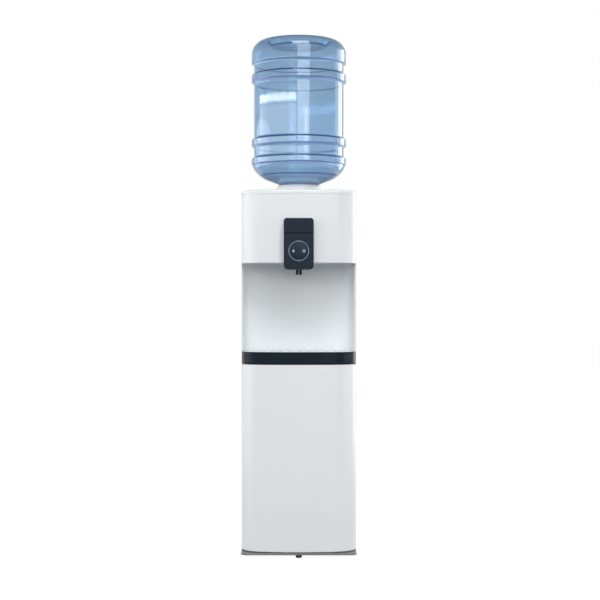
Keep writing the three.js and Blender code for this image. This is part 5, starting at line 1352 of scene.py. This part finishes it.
# %% Compressor
CAN_Y, CAN_RADIUS, CAN_ROUND, SUNK = 79 * MM, 60 * MM, 15 * MM, 1 * MM
CAN_FLOOR, CAN_BOWL, CAN_CROWN = 0.62, ((0.9, 0.04), (1, 0.19)), ((1, 0.8), (0.86, 0.955), (0.5, 1), (0, 1))
SEAM_RADIUS, SEAM_HALF, SEAM_EDGE = 64 * MM, 4.5 * MM, 1.3 * MM
PLATE_CORNER, PLATE_EDGE, BOLT_HOLE = 13 * MM, 0.8 * MM, 3.8 * MM
PIPE_Y, SUCTION, DISCHARGE = 21 * MM, 0.72, 0.34
STUB_END, STUB_RADIUS, STUB_EDGE = 74 * MM, 3.2 * MM, 0.5 * MM

low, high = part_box("compressor")
plate_top = low.z + WALL
can_height = high.z - plate_top
seam_z = (plate_top + high.z) / 2
bottom, seam_low, seam_high = plate_top - SUNK, seam_z - SEAM_HALF, seam_z + SEAM_HALF


def can_corners(shares):
    return [(radius * CAN_RADIUS, plate_top + height * can_height) for radius, height in shares]


can = profile_line("compressor", [
    (0, bottom), (CAN_FLOOR * CAN_RADIUS, bottom), *can_corners(CAN_BOWL), (CAN_RADIUS, seam_low),
    (SEAM_RADIUS, seam_low), (SEAM_RADIUS, seam_high), (CAN_RADIUS, seam_high), *can_corners(CAN_CROWN)],
    (0, CAN_Y))
fillet(can, CAN_ROUND, lambda at: abs(at.z - seam_z) > 2 * SEAM_HALF, 6)
fillet(can, SEAM_EDGE, lambda at: abs(at.z - seam_z) < 2 * SEAM_HALF, 3)
revolve(can, (0, CAN_Y))
foot_plate = plate("foot plate", low, (high.x, high.y, plate_top), PLATE_CORNER, axis=2)
cut(foot_plate, gather(*(upright("hole", centre_of(node), low.z - WALL, plate_top + WALL, BOLT_HOLE, 32)
                         for node in GROMMETS)))
parts = [soften(foot_plate, PLATE_EDGE, 2)]
for y, share in ((CAN_Y + PIPE_Y, SUCTION), (CAN_Y - PIPE_Y, DISCHARGE)):
    z = plate_top + share * can_height
    stub = rod("stub", (CAN_RADIUS / 2, y, z), (STUB_END, y, z), STUB_RADIUS, 32)
    parts.append(soften(stub, STUB_EDGE, 2))
dress(gather(can, *parts), "compressor")
print("compressor:", len(can.data.polygons), "faces")

# %% Terminal cover and grommets
COVER_CORNER, COVER_ROUND, COVER_FREE = 5 * MM, 2.5 * MM, 0.3 * MM
GROMMET_HOLE, GROMMET_GROOVE = 3.3 * MM, 3 * MM

low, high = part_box("terminal_cover")
cover = plate("terminal_cover", low, high, COVER_CORNER, axis=0)
round_edges(cover, COVER_ROUND, lambda at, e: near(at.x, low.x), 4)
cut(cover, upright("can clearance", (0, CAN_Y), low.z - WALL, high.z + WALL, SEAM_RADIUS + COVER_FREE, 96))
dress(cover, "terminal_cover")

for node in GROMMETS:
    low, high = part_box(node)
    third = (high.z - low.z) / 3
    radius = (high.x - low.x) / 2
    groove = radius - GROMMET_GROOVE
    dress(turn(node, [
        (GROMMET_HOLE, low.z), (radius, low.z), (radius, low.z + third), (groove, low.z + third),
        (groove, high.z - third), (radius, high.z - third), (radius, high.z), (GROMMET_HOLE, high.z),
        (GROMMET_HOLE, low.z)], centre_of(node).xy, 48, MM), node)
print("terminal cover and grommets dressed")

# %% [markdown]
# Copper lines join the parts of the cooling circuit. The discharge line climbs from the compressor to the
# condenser, the suction line comes down from the cold tank, and the filter drier hangs on a bend under the
# condenser's other end. Each line is a pen line through its corners, since a pipe bender works in the same
# way: straight, bend, straight.

# %% Refrigerant lines and filter drier
LINE_RADIUS, LINE_BEND, LINE_RESOLUTION = 3 * MM, 16 * MM, 6
LINE_START, DISCHARGE_X = STUB_END + FIT, TUBE_HALF - JOG
SUCTION_X, SUCTION_Y, ELBOW_X = 94.5 * MM, 7.5 * MM, 98.3 * MM
DRIER_RADIUS, DRIER_TAPER, DRIER_EDGE = 9 * MM, 6 * MM, 2 * MM
DRIER_X, DRIER_Y, INLET_DROP = -DISCHARGE_X, REAR_Y - 50 * MM, 24 * MM


def copper_line(name, corners):
    return tube(name, corners, LINE_RADIUS, LINE_BEND, LINE_RESOLUTION)


panel_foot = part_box("rear_panel")[0].z
y, z = CAN_Y - PIPE_Y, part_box("discharge_line")[0].z + LINE_RADIUS
discharge = copper_line("discharge_line", [
    (LINE_START, y, z), (DISCHARGE_X, y, z), (DISCHARGE_X, TUBE_Y, z), (DISCHARGE_X, TUBE_Y, BRAZE_Z - FIT)])
dress(discharge, "discharge_line", angle=50)

low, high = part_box("suction_line")
y, z = CAN_Y + PIPE_Y, low.z + LINE_RADIUS
suction = copper_line("suction_line", [
    (SUCTION_X, SUCTION_Y, high.z), (SUCTION_X, SUCTION_Y, panel_foot), (ELBOW_X, y, z), (LINE_START, y, z)])
dress(suction, "suction_line", angle=50)

low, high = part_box("filter_drier")
inlet_z = panel_foot - INLET_DROP + LINE_BEND
top = inlet_z - 1.5 * LINE_BEND - FIT
drier = turn("filter_drier", [
    (0, low.z), (LINE_RADIUS, low.z), (LINE_RADIUS, low.z + DRIER_TAPER),
    (DRIER_RADIUS, low.z + 2 * DRIER_TAPER), (DRIER_RADIUS, top - 2 * DRIER_TAPER),
    (LINE_RADIUS, top - DRIER_TAPER), (LINE_RADIUS, top), (0, top)], (DRIER_X, DRIER_Y), 48, DRIER_EDGE, 4)
inlet = copper_line("inlet", [(DRIER_X, TUBE_Y, BRAZE_Z - FIT), (DRIER_X, TUBE_Y, inlet_z),
                              (DRIER_X, DRIER_Y, inlet_z), (DRIER_X, DRIER_Y, top - MM)])
dress(gather(drier, inlet), "filter_drier", angle=50)
print("lines dressed")

# %% [markdown]
# Low on the rear panel are the three fittings a user meets: the drain spigot with its cap, the grommet for
# the mains lead, and a plate with two rocker switches, red for heating and green for cooling.

# %% Drain and cord gland
SPIGOT_RADIUS, COLLAR_BACK, SPIGOT_BORE, SPIGOT_EDGE = 8 * MM, FIT + 2.5 * MM, 4 * MM, 0.6 * MM
CAP_BORE, CAP_EDGE, GRIP_HALF, GRIP_DEPTH, GRIP_ROUND = 8.5 * MM, 0.9 * MM, 1.25 * MM, 5 * MM, 1.2 * MM
FLUTES, FLUTE_RADIUS, FLUTE_OUT, GRIP_CLEAR = 24, 1 * MM, 0.5 * MM, 0.3
GLAND_RADIUS, GLAND_FLANGE, GLAND_TIP, GLAND_EDGE = 7 * MM, 11 * MM, 6.2 * MM, 0.7 * MM
FLANGE_BACK = FIT + 3 * MM


def turn_back(name, profile, x, rounding):
    """Turns a profile of (radius, distance behind the rear face) round a line to the back."""
    piece = turn(name, [(radius, -behind) for radius, behind in profile], steps=64, rounding=rounding)
    return stand_forward(piece, (x, REAR_FACE, FITTINGS_Z))


start, end = (corner.y - REAR_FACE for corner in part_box("drain_spigot"))
spigot = turn_back("drain_spigot", [
    (0, start), (SPIGOT_RADIUS, start), (SPIGOT_RADIUS, FIT), (COLLAR_RADIUS, FIT),
    (COLLAR_RADIUS, COLLAR_BACK), (SPIGOT_RADIUS, COLLAR_BACK), (SPIGOT_RADIUS, end), (SPIGOT_BORE, end),
    (SPIGOT_BORE, 0), (0, 0)], SPIGOT_X, SPIGOT_EDGE)
dress(spigot, "drain_spigot")

low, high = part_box("drain_cap")
radius, inner = (high.z - low.z) / 2, end + FIT
start, end = low.y - REAR_FACE, high.y - REAR_FACE
cap = turn_back("drain_cap", [
    (CAP_BORE, start), (radius, start), (radius, end), (0, end), (0, inner), (CAP_BORE, inner),
    (CAP_BORE, start)], SPIGOT_X, CAP_EDGE)
weld(cap, plate("grip", (low.x, high.y - GRIP_DEPTH, FITTINGS_Z - GRIP_HALF),
                (high.x, high.y, FITTINGS_Z + GRIP_HALF), GRIP_ROUND))
flutes = []
for number in range(FLUTES):
    angle = 2 * math.pi * number / FLUTES
    x = SPIGOT_X + (radius + FLUTE_OUT) * math.cos(angle)
    z = FITTINGS_Z + (radius + FLUTE_OUT) * math.sin(angle)
    if abs(math.sin(angle)) > GRIP_CLEAR:
        flutes.append(rod("flute", (x, low.y + MM, z), (x, high.y - 2 * MM, z), FLUTE_RADIUS, 12))
dress(cut(cap, gather(*flutes)), "drain_cap")

start, end = (corner.y - REAR_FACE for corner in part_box("cord_gland"))
gland = turn_back("cord_gland", [
    (SPIGOT_BORE, start), (GLAND_RADIUS, start), (GLAND_RADIUS, FIT), (GLAND_FLANGE, FIT),
    (GLAND_FLANGE, FLANGE_BACK), (GLAND_RADIUS, FLANGE_BACK), (GLAND_TIP, end), (SPIGOT_BORE, end),
    (SPIGOT_BORE, start)], GLAND_X, GLAND_EDGE)
dress(gland, "cord_gland")
print("drain and gland dressed")

# %% Switches
PLATE_ROUND, PLATE_BEVEL, SWITCH_HOLE = 3 * MM, 0.6 * MM, 10.8 * MM
SWITCH_TILT, SWITCH_EDGE = math.radians(8), 0.5 * MM
HOLLOW, HOLLOW_ROUND = 0.87, 5 * MM
ROCKER = [(-8, -5), (0, -10), (2.6, -10), (HOLLOW, 0), (2.6, 10), (0, 10), (-8, 5), (-8, -5)]

low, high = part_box("switch_plate")
switch_plate = plate("switch_plate", low, high, PLATE_ROUND)
cut(switch_plate, gather(*switch_openings(low.y - WALL, high.y + WALL, SWITCH_HOLE)))
dress(soften(switch_plate, PLATE_BEVEL, 3, BEVEL_ANGLE), "switch_plate")

for node in SWITCHES:
    left, right = (corner.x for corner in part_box(node))
    half = (right - left) / 2
    outline = [(-half, y * MM, z * MM) for y, z in ROCKER]
    rocker = pull(pen(node, outline[0], outline[1:]), 2 * half, Vector((1, 0, 0)))
    round_edges(rocker, HOLLOW_ROUND, lambda at, e: near(at.y, HOLLOW * MM) and runs(e, 0))
    tilt(soften(rocker, SWITCH_EDGE, angle=25), 0, SWITCH_TILT)
    dress(move(rocker, ((left + right) / 2, high.y, FITTINGS_Z)), node)
print("rear fittings dressed")
